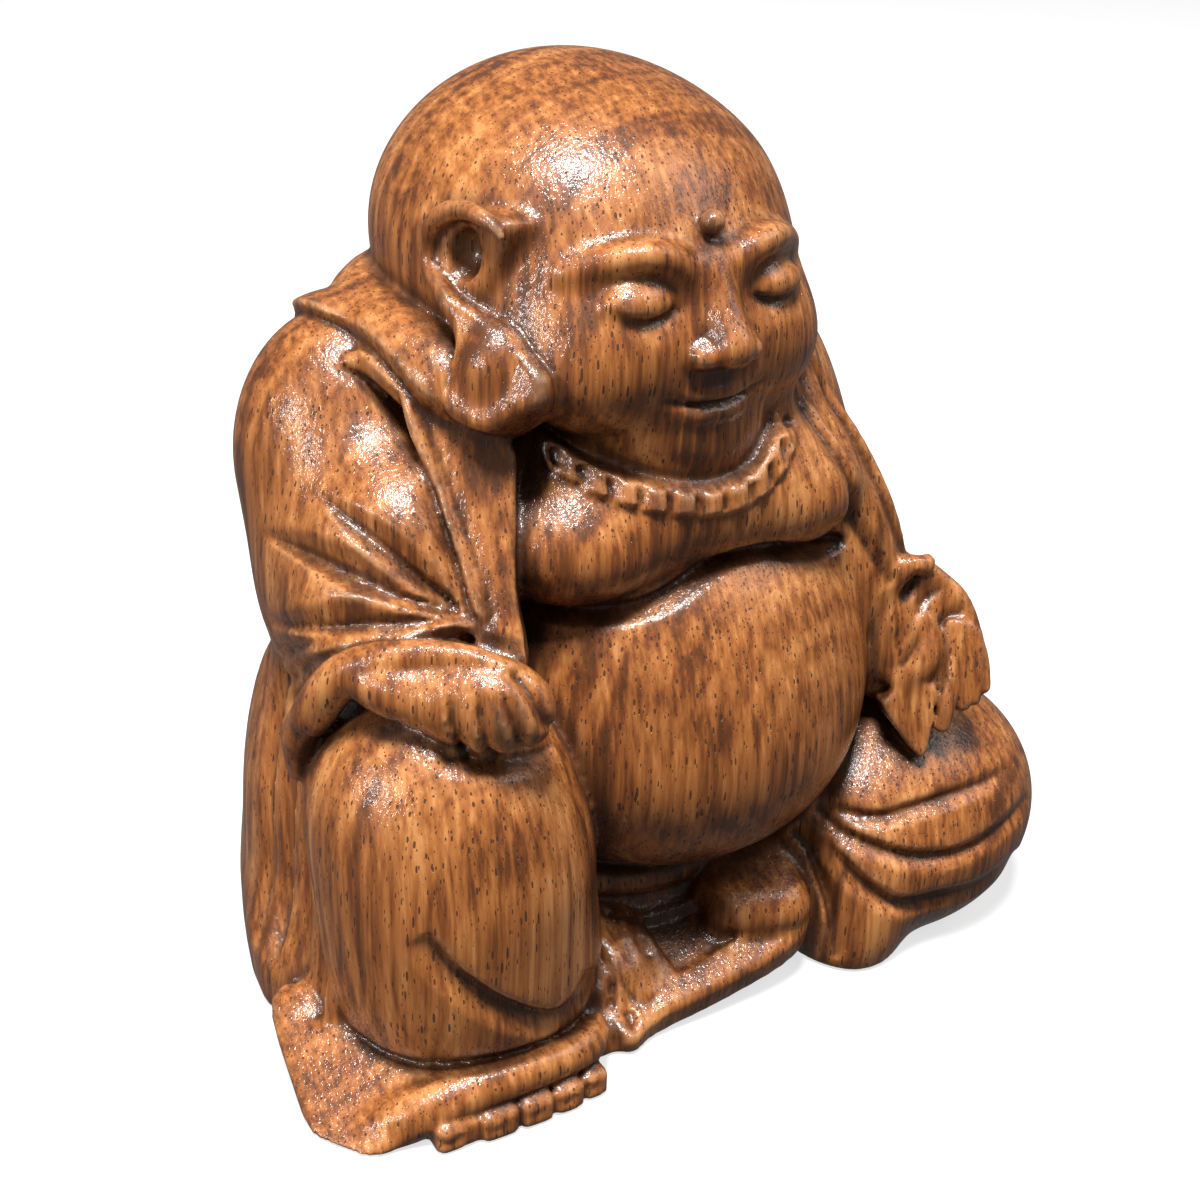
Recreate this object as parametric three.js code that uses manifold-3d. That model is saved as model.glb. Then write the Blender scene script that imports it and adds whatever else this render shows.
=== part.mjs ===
// Seated figure of a monk, carved from one block of hardwood. Millimetres, +Z up, the figure faces -Y.
import * as THREE from 'three';
import { edgeTable, triTable } from 'three/addons/objects/MarchingCubes.js';
import { mergeVertices } from 'three/addons/utils/BufferGeometryUtils.js';
import Module from 'manifold-3d';

// Driving sizes. The carving is laid out in units of which the figure is CROWN high.
const HEIGHT = 150;
const CROWN = 102.5;
const UNIT = HEIGHT / CROWN;
const CELL = 0.85;
// No side of a knife cut is narrower than this.
const NARROWEST = 1.3;
const TRIANGLES = 8400;
const LOW = [-50, -44, -1.6];
const HIGH = [60, 30, 105];
const WOOD = '#a8703a';

// Modelling tools: every length is in hundredths of the figure's height.
const SURFACE_BAND = 1.6;
const RAD = Math.PI / 180;
const dot = (a, b) => a[0] * b[0] + a[1] * b[1] + a[2] * b[2];

const softMin = (a, b, k) => {
  const h = Math.max(k - Math.abs(a - b), 0) / k;
  return Math.min(a, b) - h * h * k * 0.25;
};
const softMax = (a, b, k) => -softMin(-a, -b, k);
const smooth = (t) => {
  const u = Math.min(1, Math.max(0, t));
  return u * u * (3 - 2 * u);
};

// Rows of the matrix that takes the block's axes to a piece turned about X, then Y, then Z.
function turnRows([rx, ry, rz]) {
  const [cx, sx, cy, sy, cz, sz] = [rx, ry, rz].flatMap((a) => [Math.cos(a * RAD), Math.sin(a * RAD)]);
  return [
    [cy * cz, cy * sz, -sy],
    [sx * sy * cz - cx * sz, sx * sy * sz + cx * cz, sx * cy],
    [cx * sy * cz + sx * sz, cx * sy * sz - sx * cz, cx * cy],
  ];
}

const boxAround = (points, radius) => [
  [0, 1, 2].map((k) => Math.min(...points.map((p) => p[k])) - radius),
  [0, 1, 2].map((k) => Math.max(...points.map((p) => p[k])) + radius),
];

function ellipsoid(centre, radii, turn = [0, 0, 0]) {
  const [r0, r1, r2] = turnRows(turn);
  const [a, b, c] = radii;
  const at = (x, y, z) => {
    const dx = x - centre[0], dy = y - centre[1], dz = z - centre[2];
    const u = (r0[0] * dx + r0[1] * dy + r0[2] * dz) / a;
    const v = (r1[0] * dx + r1[1] * dy + r1[2] * dz) / b;
    const w = (r2[0] * dx + r2[1] * dy + r2[2] * dz) / c;
    const k0 = Math.sqrt(u * u + v * v + w * w);
    const k1 = Math.sqrt((u * u) / (a * a) + (v * v) / (b * b) + (w * w) / (c * c));
    return (k0 * (k0 - 1)) / Math.max(k1, 1e-6);
  };
  return { box: boxAround([centre], Math.max(...radii)), at };
}

function block(centre, half, radius, turn = [0, 0, 0]) {
  const [r0, r1, r2] = turnRows(turn);
  const at = (x, y, z) => {
    const dx = x - centre[0], dy = y - centre[1], dz = z - centre[2];
    const u = Math.abs(r0[0] * dx + r0[1] * dy + r0[2] * dz) - half[0] + radius;
    const v = Math.abs(r1[0] * dx + r1[1] * dy + r1[2] * dz) - half[1] + radius;
    const w = Math.abs(r2[0] * dx + r2[1] * dy + r2[2] * dz) - half[2] + radius;
    const out = Math.hypot(Math.max(u, 0), Math.max(v, 0), Math.max(w, 0));
    return out + Math.min(Math.max(u, v, w), 0) - radius;
  };
  return { box: boxAround([centre], Math.hypot(...half)), at };
}

// Points along a smooth curve through the given ones; any numbers after x, y, z come along.
function curve(points, perSpan = 5) {
  if (points.length < 3) return points;
  const out = [];
  for (let i = 0; i + 1 < points.length; i++) {
    const p0 = points[Math.max(i - 1, 0)], p1 = points[i], p2 = points[i + 1], p3 = points[Math.min(i + 2,
      points.length - 1)];
    for (let s = 0; s < perSpan; s++) {
      const t = s / perSpan, t2 = t * t, t3 = t2 * t;
      out.push(p1.map((_,
        k) => 0.5 * (2 * p1[k] + (p2[k] - p0[k]) * t + (2 * p0[k] - 5 * p1[k] + 4 * p2[k] - p3[k]) * t2
        + (3 * p1[k] - p0[k] - 3 * p2[k] + p3[k]) * t3)));
    }
  }
  out.push(points[points.length - 1]);
  return out;
}

// A round limb through points [x, y, z, radius].
function limb(points, perSpan = 5) {
  const path = curve(points, perSpan);
  const spans = path.slice(1).map((b, i) => {
    const a = path[i], d = [b[0] - a[0], b[1] - a[1], b[2] - a[2]];
    return { a, d, dd: Math.max(d[0] * d[0] + d[1] * d[1] + d[2] * d[2], 1e-9), grow: b[3] - a[3] };
  });
  const at = (x, y, z) => {
    let best = 1e9;
    for (const { a, d, dd, grow } of spans) {
      const px = x - a[0], py = y - a[1], pz = z - a[2];
      const t = Math.min(1, Math.max(0, (px * d[0] + py * d[1] + pz * d[2]) / dd));
      const qx = px - t * d[0], qy = py - t * d[1], qz = pz - t * d[2];
      const r = Math.sqrt(qx * qx + qy * qy + qz * qz) - a[3] - t * grow;
      if (r < best) best = r;
    }
    return best;
  };
  return { box: boxAround(path, Math.max(...path.map((p) => p[3]))), at };
}

// Right, up and out of a carver who stands at [azimuth, elevation] degrees, 0 in front and 90 at +X.
function carverAxes([azimuth, elevation]) {
  const [ca, sa, ce, se] = [azimuth, elevation].flatMap((a) => [Math.cos(a * RAD), Math.sin(a * RAD)]);
  return [[ca, sa, 0], [-sa * se, ca * se, ce], [sa * ce, -ca * ce, se]];
}

// A slab with a closed outline of points [x, y, z] as a carver at look sees it. It runs from back behind
// the outline's middle to front before it; its sides lean out by flare towards the back.
function plate(outline, { look, back, front, flare = 0, round = 0.5, perSpan = 4 }) {
  const [u, v, n] = carverAxes(look);
  const ring = [outline[outline.length - 1], ...outline, outline[0], outline[1]];
  const flat = curve(ring, perSpan).slice(perSpan, -perSpan - 1).map((p) => [dot(p, u), dot(p, v)]);
  const middle = outline.reduce((s, p) => s + dot(p, n), 0) / outline.length;
  const spans = edgesOf(flat);
  const at = (x, y, z) => {
    const pn = x * n[0] + y * n[1] + z * n[2] - middle;
    const inside = depthInside(spans, x * u[0] + y * u[1] + z * u[2], x * v[0] + y * v[1] + z * v[2]);
    const q = -inside + flare * (pn - front) + round;
    const w = Math.max(pn - front, -pn - back) + round;
    return Math.min(Math.max(q, w), 0) + Math.hypot(Math.max(q, 0), Math.max(w, 0)) - round;
  };
  return { box: boxAround(outline, Math.max(back, front) * (1 + flare) + 1), at };
}

const edgesOf = (flat) => flat.map((a, i) => {
  const b = flat[(i + 1) % flat.length], du = b[0] - a[0], dv = b[1] - a[1];
  return { a, b, du, dv, dd: Math.max(du * du + dv * dv, 1e-9) };
});

// How far a point lies inside a closed outline, negative outside it.
function depthInside(spans, pu, pv) {
  let best = 1e9, inside = false;
  for (const { a, b, du, dv, dd } of spans) {
    const qu = pu - a[0], qv = pv - a[1];
    const t = Math.min(1, Math.max(0, (qu * du + qv * dv) / dd));
    const eu = qu - t * du, ev = qv - t * dv;
    best = Math.min(best, eu * eu + ev * ev);
    if (a[1] > pv !== b[1] > pv && pu < a[0] + ((pv - a[1]) / dv) * du) inside = !inside;
  }
  return inside ? Math.sqrt(best) : -Math.sqrt(best);
}

// Several shapes joined softly into one.
function group(shapes, blend) {
  const at = (x, y, z) => shapes.reduce((d, s) => softMin(d, s.at(x, y, z), blend), 1e3);
  const lo = [0, 1, 2].map((k) => Math.min(...shapes.map((s) => s.box[0][k])));
  const hi = [0, 1, 2].map((k) => Math.max(...shapes.map((s) => s.box[1][k])));
  return { box: [lo, hi], at };
}

// A shape with another one taken off it.
const without = (shape, other) => ({ box: shape.box, at: (x, y, z) => softMax(shape.at(x, y, z),
  -other.at(x, y, z), 0.3) });

const TAPERS = {
  none: () => 1,
  both: (t) => Math.sqrt(Math.max(0, 4 * t * (1 - t))),
  start: (t) => Math.sqrt(Math.min(1, 4 * Math.max(0, t))),
};

class Clay {
  constructor() {
    this.steps = [];
  }

  step(box, reach, apply) {
    this.steps.push({ lo: box[0].map((v) => v - reach), hi: box[1].map((v) => v + reach), apply });
  }

  add(shape, blend = 0.4) {
    this.step(shape.box, blend + SURFACE_BAND, (d, x, y, z) => softMin(d, shape.at(x, y, z), blend));
  }

  cut(shape, blend = 0.4) {
    this.step(shape.box, blend + SURFACE_BAND, (d, x, y, z) => softMax(d, -shape.at(x, y, z), blend));
  }

  // A knife stroke along a path on the surface, seen by a carver at look. widths are to the left and right
  // of the path; a negative depth raises a ridge.
  stroke(path, { look, widths, depth, taper = 'both', reach = 7, lens = false }) {
    const [u, v, n] = carverAxes(look);
    const flat = curve(path, 6).map((p) => [dot(p, u), dot(p, v), dot(p, n)]);
    const spans = flat.slice(1).map((b, i) => {
      const a = flat[i], du = b[0] - a[0], dv = b[1] - a[1];
      return { a, du, dv, dd: Math.max(du * du + dv * dv, 1e-9), dn: b[2] - a[2] };
    });
    const fade = TAPERS[taper], [left, right] = widths, count = spans.length;
    this.step(boxAround(path, Math.max(reach, left, right)), 0, (d, x, y, z) => {
      const pu = x * u[0] + y * u[1] + z * u[2];
      const pv = x * v[0] + y * v[1] + z * v[2];
      const pn = x * n[0] + y * n[1] + z * n[2];
      let best = 1e9, side = 1, along = 0, height = 0;
      for (let i = 0; i < count; i++) {
        const { a, du, dv, dd, dn } = spans[i];
        const qu = pu - a[0], qv = pv - a[1];
        const t = Math.min(1, Math.max(0, (qu * du + qv * dv) / dd));
        const eu = qu - t * du, ev = qv - t * dv, e = eu * eu + ev * ev;
        if (e < best) {
          best = e;
          side = du * qv - dv * qu;
          along = (i + t) / count;
          height = pn - a[2] - t * dn;
        }
      }
      const share = lens ? Math.max(4 * along * (1 - along), 0) : 1;
      const q = Math.sqrt(best) / Math.max((side > 0 ? left : right) * share, NARROWEST);
      if (q >= 1) return d;
      const near = 1 - smooth((Math.abs(height) - 0.6 * reach) / (0.4 * reach));
      return d + depth * (1 - q) * share * fade(along) * near;
    });
  }

  // Raises the surface by height inside a closed outline that a carver at look draws on it, with a bevel of
  // width edge all round. A negative height sinks it.
  relief(outline, { look, height, edge = 0.6, reach = 7, perSpan = 4 }) {
    const [u, v, n] = carverAxes(look);
    const ring = [outline[outline.length - 1], ...outline, outline[0], outline[1]];
    const flat = curve(ring, perSpan).slice(perSpan, -perSpan - 1).map((p) => [dot(p, u), dot(p, v)]);
    const middle = outline.reduce((s, p) => s + dot(p, n), 0) / outline.length;
    const spans = edgesOf(flat);
    this.step(boxAround(outline, reach), 0, (d, x, y, z) => {
      const inside = depthInside(spans, x * u[0] + y * u[1] + z * u[2], x * v[0] + y * v[1] + z * v[2]);
      if (inside <= 0) return d;
      const off = Math.abs(x * n[0] + y * n[1] + z * n[2] - middle);
      return d - height * Math.min(1, inside / edge) * (1 - smooth((off - 0.6 * reach) / (0.4 * reach)));
    });
  }

  // The steps that can touch a box of space, and the field at a point from them.
  near(lo, hi) {
    return this.steps.filter((s) => s.lo.every((v, k) => v <= hi[k]) && s.hi.every((v, k) => v >= lo[k]));
  }
}

function field(steps, x, y, z) {
  let d = 30;
  for (const s of steps) d = s.apply(d, x, y, z);
  return d;
}

const clay = new Clay();
const BELOW = -1.1;
const moved = (path, by) => path.map((p) => p.map((v, k) => (k < 3 ? v + by[k] : v)));
const knife = (look, depth, left, right, path, more = {}) => clay.stroke(path,
  { look, depth, widths: [left, right], ...more });
const bandBetween = (left, right) => [...left, ...[...right].reverse()];

// The head has its own frame, turned a little to the figure's left.
const HEAD = [-3, 0];
const HEAD_TURN = 10;
const FACING = [HEAD_TURN, 5];
const ahead = Math.cos(HEAD_TURN * RAD);
const aside = Math.sin(HEAD_TURN * RAD);
const onHead = (path) => path.map(([x, y, ...rest]) => [HEAD[0] + ahead * x - aside * y,
  HEAD[1] + aside * x + ahead * y, ...rest]);
const headMass = (centre, radii) => ellipsoid(onHead([centre])[0], radii, [0, 0, HEAD_TURN]);
const onEar = (path, side, back) => onHead(path.map(([x, y, ...rest]) => [x * side, y + back, ...rest]));

// Figure
const ABOVE = [0, 90];
const CORNER = [-25, 26];
const NEAR = [-45, 20];
const SIDE = [-75, 10];
const FRONT = [0, 8];
const FAN = [-20, 15];

function robeBody() {
  clay.add(ellipsoid([0, 4, 42], [35, 18.5, 44]), 1);
  clay.add(ellipsoid([-1, 6, 63], [28.5, 14, 16]), 6);
  clay.add(ellipsoid([-27, 1, 12], [15, 20, 36]), 6);
  clay.add(ellipsoid([28, 4, 14], [19, 18, 30]), 6);
  clay.add(ellipsoid([1, 3, 18], [42, 20.5, 42]), 6);
  const foot = [[-43, -12, 0], [-40, 6, 0], [-31, 16.5, 0], [-5, 21.5, 0], [24, 20.5, 0], [39, 13, 0],
    [45, 0, 0],
    [43, -12, 0], [24, -22, 0], [0, -20, 0], [-22, -23, 0]];
  clay.add(plate(foot, { look: ABOVE, back: 3, front: 9, round: 5 }), 9);
}

function collar() {
  clay.add(limb([[-9, 18, 75, 4], [-21, 11, 75.5, 4.6], [-26, 3, 74.4, 4.6], [-25.5, -5, 73.6, 4.5],
    [-23.5, -10.5, 73, 3.8]]), 2);
  clay.add(limb([[3, 18, 75, 4], [14, 10, 75, 4.5], [18, 0, 74, 4.5], [18, -8, 69, 3.5],
    [17, -13, 64, 2.5]]), 1);
}

function belly() {
  clay.add(group([ellipsoid([3, -7, 36.5], [26, 22.5, 23]), ellipsoid([3, -13, 31], [21, 18, 16])], 5), 1);
}

function chest() {
  const parts = [
    ellipsoid([1, -7, 62], [21, 15.5, 12]),
    ellipsoid([-10.5, -12.8, 56.8], [12, 11.8, 8]),
    ellipsoid([11.5, -12.5, 58.5], [12.5, 10.8, 7.4]),
    ellipsoid([1, -12, 59.5], [13, 11.3, 8]),
  ];
  clay.add(group(parts, 4), 0.3);
}

function rightSleeve() {
  const parts = [
    ellipsoid([-29.5, 3, 61.5], [12.3, 12, 16.3]),
    ellipsoid([-28, -8, 54], [11, 13, 13]),
    ellipsoid([-30.5, -2, 48], [10.5, 14, 13]),
    ellipsoid([-30.5, -15, 48.5], [9.3, 11, 7]),
  ];
  clay.add(group(parts, 5), 0.8);
}

function rightLapel() {
  const band = [[-27, -10, 74], [-24, -16, 71.5], [-20, -19.5, 70], [-19.5, -20, 63.5], [-21, -24, 56],
    [-21.5, -28, 49],
    [-25, -26, 48], [-27.2, -22, 55], [-28, -14, 66]];
  clay.add(plate(band, { look: CORNER, back: 9, front: -0.3, round: 0.6 }), 0.5);
}

function leftSleeve() {
  clay.add(limb([[16, 5, 67, 9], [21.5, 4, 58, 9], [25.5, -1, 47, 8.5], [29, -9, 41, 7.5]]), 3);
  clay.add(limb([[16, -6, 68, 5], [20.5, -9.5, 59, 6.5], [24, -11.5, 51, 7], [27, -13, 44, 6]]), 2.5);
  clay.add(ellipsoid([30.5, -14.5, 38], [6.5, 6.8, 9], [0, 12, 0]), 0.8);
  const fan = [[27, -19.5, 35], [27.5, -18.5, 40], [28.5, -18, 43.5], [30, -17.5, 46.5], [32.5, -18, 48],
    [35, -19.5, 46.3],
    [37.2, -20.5, 44], [38.5, -22, 40.5], [38.5, -23, 37], [38.5, -24, 33.5], [35.5, -23.5, 32.5], [32.5,
      -22, 33]];
  clay.add(plate(fan, { look: FAN, back: 6, front: 0.6, flare: -0.1, round: 1.3 }), 0.6);
  clay.add(limb([[28.2, -17.2, 43, 1.2], [28.8, -17.2, 46, 2.1], [29.9, -17.8, 47.4, 2.1],
    [31.6, -18.7, 47.8, 1.5]]), 0.4);
}

function drape() {
  const wall = [[-42, -19, 36], [-42, -9, 43], [-42, 4, 40], [-42, 11, 24], [-42, 11, 0], [-42, -20, -2],
    [-42, -22, 12],
    [-42, -21, 28]];
  clay.add(plate(wall, { look: [-90, 5], back: 6, front: -1.9, round: 1.5 }), 3);
}

function rightLeg() {
  const parts = [
    ellipsoid([-26.5, -21, 22.5], [15.2, 16, 22]),
    ellipsoid([-29, -19.5, 32.5], [12, 12.6, 12.3]),
    ellipsoid([-25, -22, 11], [14.2, 13.2, 13]),
  ];
  clay.add(group(parts, 5), 0.3);
}

function leftLeg() {
  const parts = [
    ellipsoid([33.5, -11, 12], [21, 18.5, 17]),
    ellipsoid([25, -15, 8], [9, 14, 16]),
    ellipsoid([23, -20, 3], [6, 9, 9]),
  ];
  clay.add(group(parts, 4), 0.6);
}

function hem() {
  const lobe = [[-45.8, -32.5, 0], [-45.2, -24, 0], [-42.8, -13, 0], [-37, -12, 0], [-24, -22, 0],
    [-24, -31, 0], [-33, -35, 0],
    [-38, -36.3, 0], [-43, -36.2, 0]];
  clay.add(plate(lobe, { look: [-50, 58], back: 12, front: 5.4, round: 0.9 }), 0.6);
  clay.add(limb([[-41, -32, -0.2, 1.6], [-36, -34.6, 2.6, 2.6], [-29, -35.4, 4.8, 2.6],
    [-22, -35, 5.2, 2.5],
    [-16.5, -33.8, 4.9, 2.3], [-14.5, -31.5, 4.6, 2.1]]), 0.9);
  knife(CORNER, 1, 0.8, 1, [[-39.5, -24, 6.5], [-35.5, -31, 6.5], [-30.5, -35, 7.6], [-24.7, -35.7, 7.9],
    [-18, -34.5, 7.4],
    [-14, -31, 6.8]], { reach: 6 });
}

function rightToes() {
  clay.add(ellipsoid([-22, -30.5, 2], [9, 3.5, 4]), 0.5);
  for (const [x, y, half] of [[-33.8, -37, 2.5], [-29.2, -37.2, 2.25], [-24.9, -36.8, 2.05],
    [-21, -36.2, 1.85],
    [-17.6, -35.3, 1.6]]) {
    const top = block([x + 1, y - 2.7, 4.6], [half + 0.5, 2.2, 2], 0.2, [34, 0, 8]);
    clay.add(without(block([x + 1, y + 3, 0], [half, 4.8, 3.3], 1, [0, 0, 8]), top), 0.15);
  }
}

function leftFoot() {
  const sole = [[-11, -28, 0], [-9.5, -31.5, 0], [-5.5, -29.5, 0], [4, -27.8, 0], [14, -25, 0],
    [17, -20, 0], [12, -14, 0],
    [-2, -14, 0], [-8, -21, 0]];
  clay.add(plate(moved(sole, [0, 1.2, 0]), { look: ABOVE, back: 3, front: 3, round: 0.6 }), 0.3);
  clay.add(plate(sole, { look: [-12, 64], back: -3, front: 7.2, flare: 0.15, round: 1 }), 0.5);
  clay.add(block([10.5, -20, 7.5], [6.8, 6.6, 6.6], 3.4, [18, 0, -12]), 1.2);
  clay.add(ellipsoid([-9, -20, 3], [9, 9, 8]), 1.5);
  clay.add(ellipsoid([-14, -25.5, 0], [8.5, 6, 5]), 1);
  clay.add(ellipsoid([3, -20, 4], [11, 5.5, 4]), 1);
  clay.add(ellipsoid([0, -24.2, 2], [5, 2.4, 3]), 0.5);
  clay.add(limb([[-12, -17, 15, 1.8], [-4, -18, 13.2, 1.9], [4, -18, 13.5, 1.8], [10, -17, 16, 1.4]]), 0.6);
  const sunk = [[-4, -21, 9], [4, -21.5, 11], [7, -26.5, 8], [-2, -28, 6.2]];
  clay.relief(sunk, { look: [-12, 60], height: -0.9, edge: 0.5, reach: 6, perSpan: 1 });
}

function rightHand() {
  const parts = [
    ellipsoid([-32.5, -24.3, 47.6], [7.2, 4.4, 3.6], [0, 8, -40]),
    ellipsoid([-26, -29.4, 46.6], [6.8, 4.6, 5.2], [0, 5, -35]),
  ];
  clay.add(without(group(parts, 3), block([-25, -33, 39.6], [9, 4, 3.2], 0.3, [0, 0, -18])), 0.3);
  const grooves = [
    [[-30.9, -31.6, 49.4], [-30.4, -31.8, 46], [-29.3, -31.8, 42.5]],
    [[-28.4, -32.8, 49.6], [-27.9, -33, 46], [-27, -33, 42.5]],
    [[-25.9, -33.6, 49.6], [-25, -33.8, 46], [-24, -33.8, 42.5]],
    [[-25, -32, 51.4], [-23.3, -33.6, 49], [-22, -34, 46]],
  ];
  for (const path of grooves) {
    knife(CORNER, 0.8, 1.1, 0.6, path, { reach: 6, taper: "start" });
  }
  knife(CORNER, 1, 0.8, 2, [[-31, -29.5, 42], [-27, -30.5, 41.2], [-22.5, -31, 40.8], [-19.5, -30, 40.8]],
    { reach: 5 });
}

function leftHand() {
  const pleats = [
    [[28, -20, 38], [29, -19.5, 41.5], [30, -18.8, 45], [31, -18.8, 47.3]],
    [[28, -20.5, 37], [29.5, -20, 40.5], [31.5, -20, 43.5], [34, -20.5, 45.3]],
    [[28.5, -21, 36], [31, -21, 38.5], [33.5, -21.5, 41], [36.3, -22, 42.8]],
  ];
  for (const path of pleats) {
    knife(FAN, 0.8, 1.4, 0.7, path, { reach: 6 });
  }
  const tip = [[26.3, -21, 32], [28, -21.8, 28.8], [30.5, -24.3, 25.3], [31.5, -24.3, 28],
    [32.2, -23.5, 31.5], [32.5, -23, 34],
    [29, -22, 34]];
  clay.add(plate(tip, { look: FAN, back: 4, front: 0.6, round: 0.5, perSpan: 2 }), 0.3);
  const fingers = [
    [[34.6, -21.2, 40.8, 0.7], [34.5, -22.9, 36, 1], [33.6, -23.9, 32, 1.1], [33.1, -24.2, 29.2, 1]],
    [[35.7, -21.8, 40.8, 0.7], [35.8, -23.4, 36, 0.85], [35.5, -24.4, 31.6, 0.9]],
    [[36.7, -22.2, 40.3, 0.7], [36.9, -23.7, 36, 0.8], [36.8, -24.7, 32.2, 0.8]],
    [[37.5, -22.5, 39.8, 0.7], [37.9, -23.9, 36.5, 0.8], [37.9, -24.8, 33.6, 0.8]],
  ];
  for (const path of fingers) {
    clay.add(limb(path), 0.3);
  }
  const lip = [[28.4, -20.2, 34.4, 1.3], [29.6, -20.7, 34.4, 1.7], [31, -21.1, 36, 1.9],
    [32, -20.9, 38.4, 1.6],
    [32.3, -20.3, 41, 0.9]];
  clay.add(limb(lip), 0.9);
}

function skull() {
  const parts = [headMass([0, 1, 85], [21.5, 21, 16.5]), headMass([0, -3.5, 78], [20, 20, 12.5]),
    headMass([0, 8, 84], [19.5, 16, 17])];
  clay.add(group(parts, 6), 0.4);
}

function ear(side, back) {
  const lobe = [[22.6, -3.2, 83], [21.9, -4.8, 82.5], [20.8, -7.6, 81.5], [19.4, -10.9, 80],
    [18.5, -14.6, 77.5],
    [18.2, -15.6, 76.5], [18.8, -16, 74.5], [20.5, -14.2, 73], [22.6, -11.8, 71], [24.4, -7.4, 72], [23.8,
      -7, 75.5],
    [22.6, -6.2, 78.5], [22.8, -4.2, 81]];
  const across = HEAD_TURN + 60 * side;
  clay.add(plate(onEar(lobe, side, back), { look: [across, 20], back: 6, front: 0.8, flare: 0.1,
    round: 1.1 }), 0.3);
  clay.add(ellipsoid(onEar([[19.8, -9, 75.8]], side, back)[0], [3.8, 3.9, 4.8], [0, 0, across]), 0.8);
  const shell = [[19.5, -9.5, 90], [19.5, -7, 90.8], [20, -3.3, 90.3], [20.7, -0.3, 89.3], [21, 0.8, 87],
    [21, 0, 84.5],
    [21, -2, 82], [20, -5.5, 82.5], [19.7, -8, 86]];
  clay.add(plate(onEar(shell, side, back), { look: [HEAD_TURN + 78 * side, 5], back: 4, front: -0.3,
    round: 0.7 }), 1.2);
  const rim = [[19.3, -9, 89, 0.4], [19.8, -7.2, 90.2, 0.8], [20.3, -3.9, 90.6, 1], [21, -1.4, 89.8, 1.1],
    [21.4, 0.5, 88, 1.1], [21.4, 1.2, 85.5, 1.1], [21.6, 0.2, 83.8, 1], [22, -2.2, 82.8, 1], [22.3, -4.4,
      81.6, 1]];
  clay.add(limb(onEar(rim, side, back)), 0.4);
  clay.cut(ellipsoid(onEar([[21.2, -3.9, 86.2]], side, back)[0], [2.2, 3.4, 2.8],
    [14, 0, HEAD_TURN + 78 * side]), 0.5);
}

function face() {
  for (const s of [-1, 1]) {
    clay.add(headMass([s * 9.5, -15.5, 75.5], [7.5, 6.5, 6.5]), 5);
  }
  clay.add(headMass([0, -18.3, 68.8], [7, 4.8, 3.8]), 4);
  clay.add(headMass([0, -16.6, 73.2], [8.5, 6, 5]), 3);
  for (const s of [-1, 1]) {
    clay.cut(headMass([s * 8, -25, 83.3], [4.8, 3.4, 2.7]), 2.5);
    clay.add(headMass([s * 8, -19.6, 82.8], [4.3, 2.9, 2.4]), 0.5);
    clay.add(limb(onHead([[s * 2.2, -20.9, 85.6, 1], [s * 7.8, -20.6, 87.6, 1.4],
      [s * 14, -16, 85.6, 0.6]])), 2.2);
  }
  clay.add(limb(onHead([[0, -20.6, 86, 1.4], [0, -23.2, 82, 1.7], [0, -25.2, 78.7, 2.2]])), 2);
  for (const s of [-1, 1]) {
    clay.add(headMass([s * 2.6, -23.6, 77.8], [1.8, 2, 1.4]), 0.9);
  }
  for (const [z, r, y] of [[73.4, 1, -22.9], [71.5, 1.2, -22.7]]) {
    clay.add(limb(onHead([[-5.8, y + 1.6, 72.9, 0.4], [-2.6, y + 0.3, z, r], [0, y, z - 0.1, r],
      [2.6, y + 0.3, z, r],
      [5.8, y + 1.6, 72.9, 0.4]])), 0.6);
  }
  knife(FACING, 0.7, 0.6, 0.6, onHead([[-6.6, -20.8, 73.4], [-3, -23, 72.6], [0, -23.6, 72.4],
    [3, -23, 72.6],
    [6.6, -20.8, 73.4]]));
  clay.add(headMass([0, -20.6, 90], [1.3, 1.3, 1.3]), 0.4);
  for (const s of [-1, 1]) {
    knife(FACING, 0.5, 0.5, 0.5, onHead([[s * 4.2, -22, 82.7], [s * 6, -22.4, 81.9], [s * 8, -22.4, 81.6],
      [s * 10.2, -21.6, 81.9],
      [s * 12, -20.2, 82.9]]));
  }
}

function mantle() {
  const leaf = [[-25, -15.5, 71.8], [-27, -13, 72.3], [-28, -9.5, 74], [-30, -3.5, 76.3], [-33, 3.5, 76.5],
    [-32, 11, 73.5],
    [-27, 20, 70], [-16, 18, 80], [-21, 4, 84], [-22, -6, 83], [-22, -11.5, 78.5], [-23.4, -14.5, 74]];
  clay.relief(leaf, { look: [-48, 48], height: 1.6, edge: 0.6, reach: 10 });
}

function sleeveRim() {
  const left = [[-32.2, -4, 74], [-30.6, -8.2, 72.6], [-29, -11.8, 70], [-27.2, -15.6, 65],
    [-26.3, -19.5, 59.2],
    [-25.8, -23.3, 53.4]];
  const right = [[-30.2, -4.5, 75.8], [-28.6, -8.6, 74.4], [-27, -12, 71.8], [-25.2, -16.1, 65],
    [-24.3, -20, 59.2],
    [-23.8, -23.8, 53.4]];
  knife(NEAR, 1, 3, 1.1, left, { reach: 8, taper: "start" });
  clay.relief(bandBetween(left, right), { look: NEAR, height: 0.9, edge: 0.6, reach: 8, perSpan: 3 });
}

function sleeveCuts() {
  const meet = [-25.8, -22.6, 53];
  const cuts = [
    [2.8, [[-36.5, -9, 62.5], [-34, -13.5, 60.5], [-31, -17, 58], [-28, -20, 55], meet]],
    [3.3, [[-42, -3.5, 56.5], [-38, -10, 56.3], [-33.5, -16.5, 55.2], [-28.5, -21, 53.8], meet]],
    [3.1, [[-42.5, -4, 46.5], [-38, -14, 50], [-34, -19.5, 52.2], [-29, -21.8, 52.7], meet]],
  ];
  for (const [wide, path] of cuts) {
    knife(NEAR, 2.1, wide, 1.2, path, { reach: 10, lens: true });
  }
}

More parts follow.
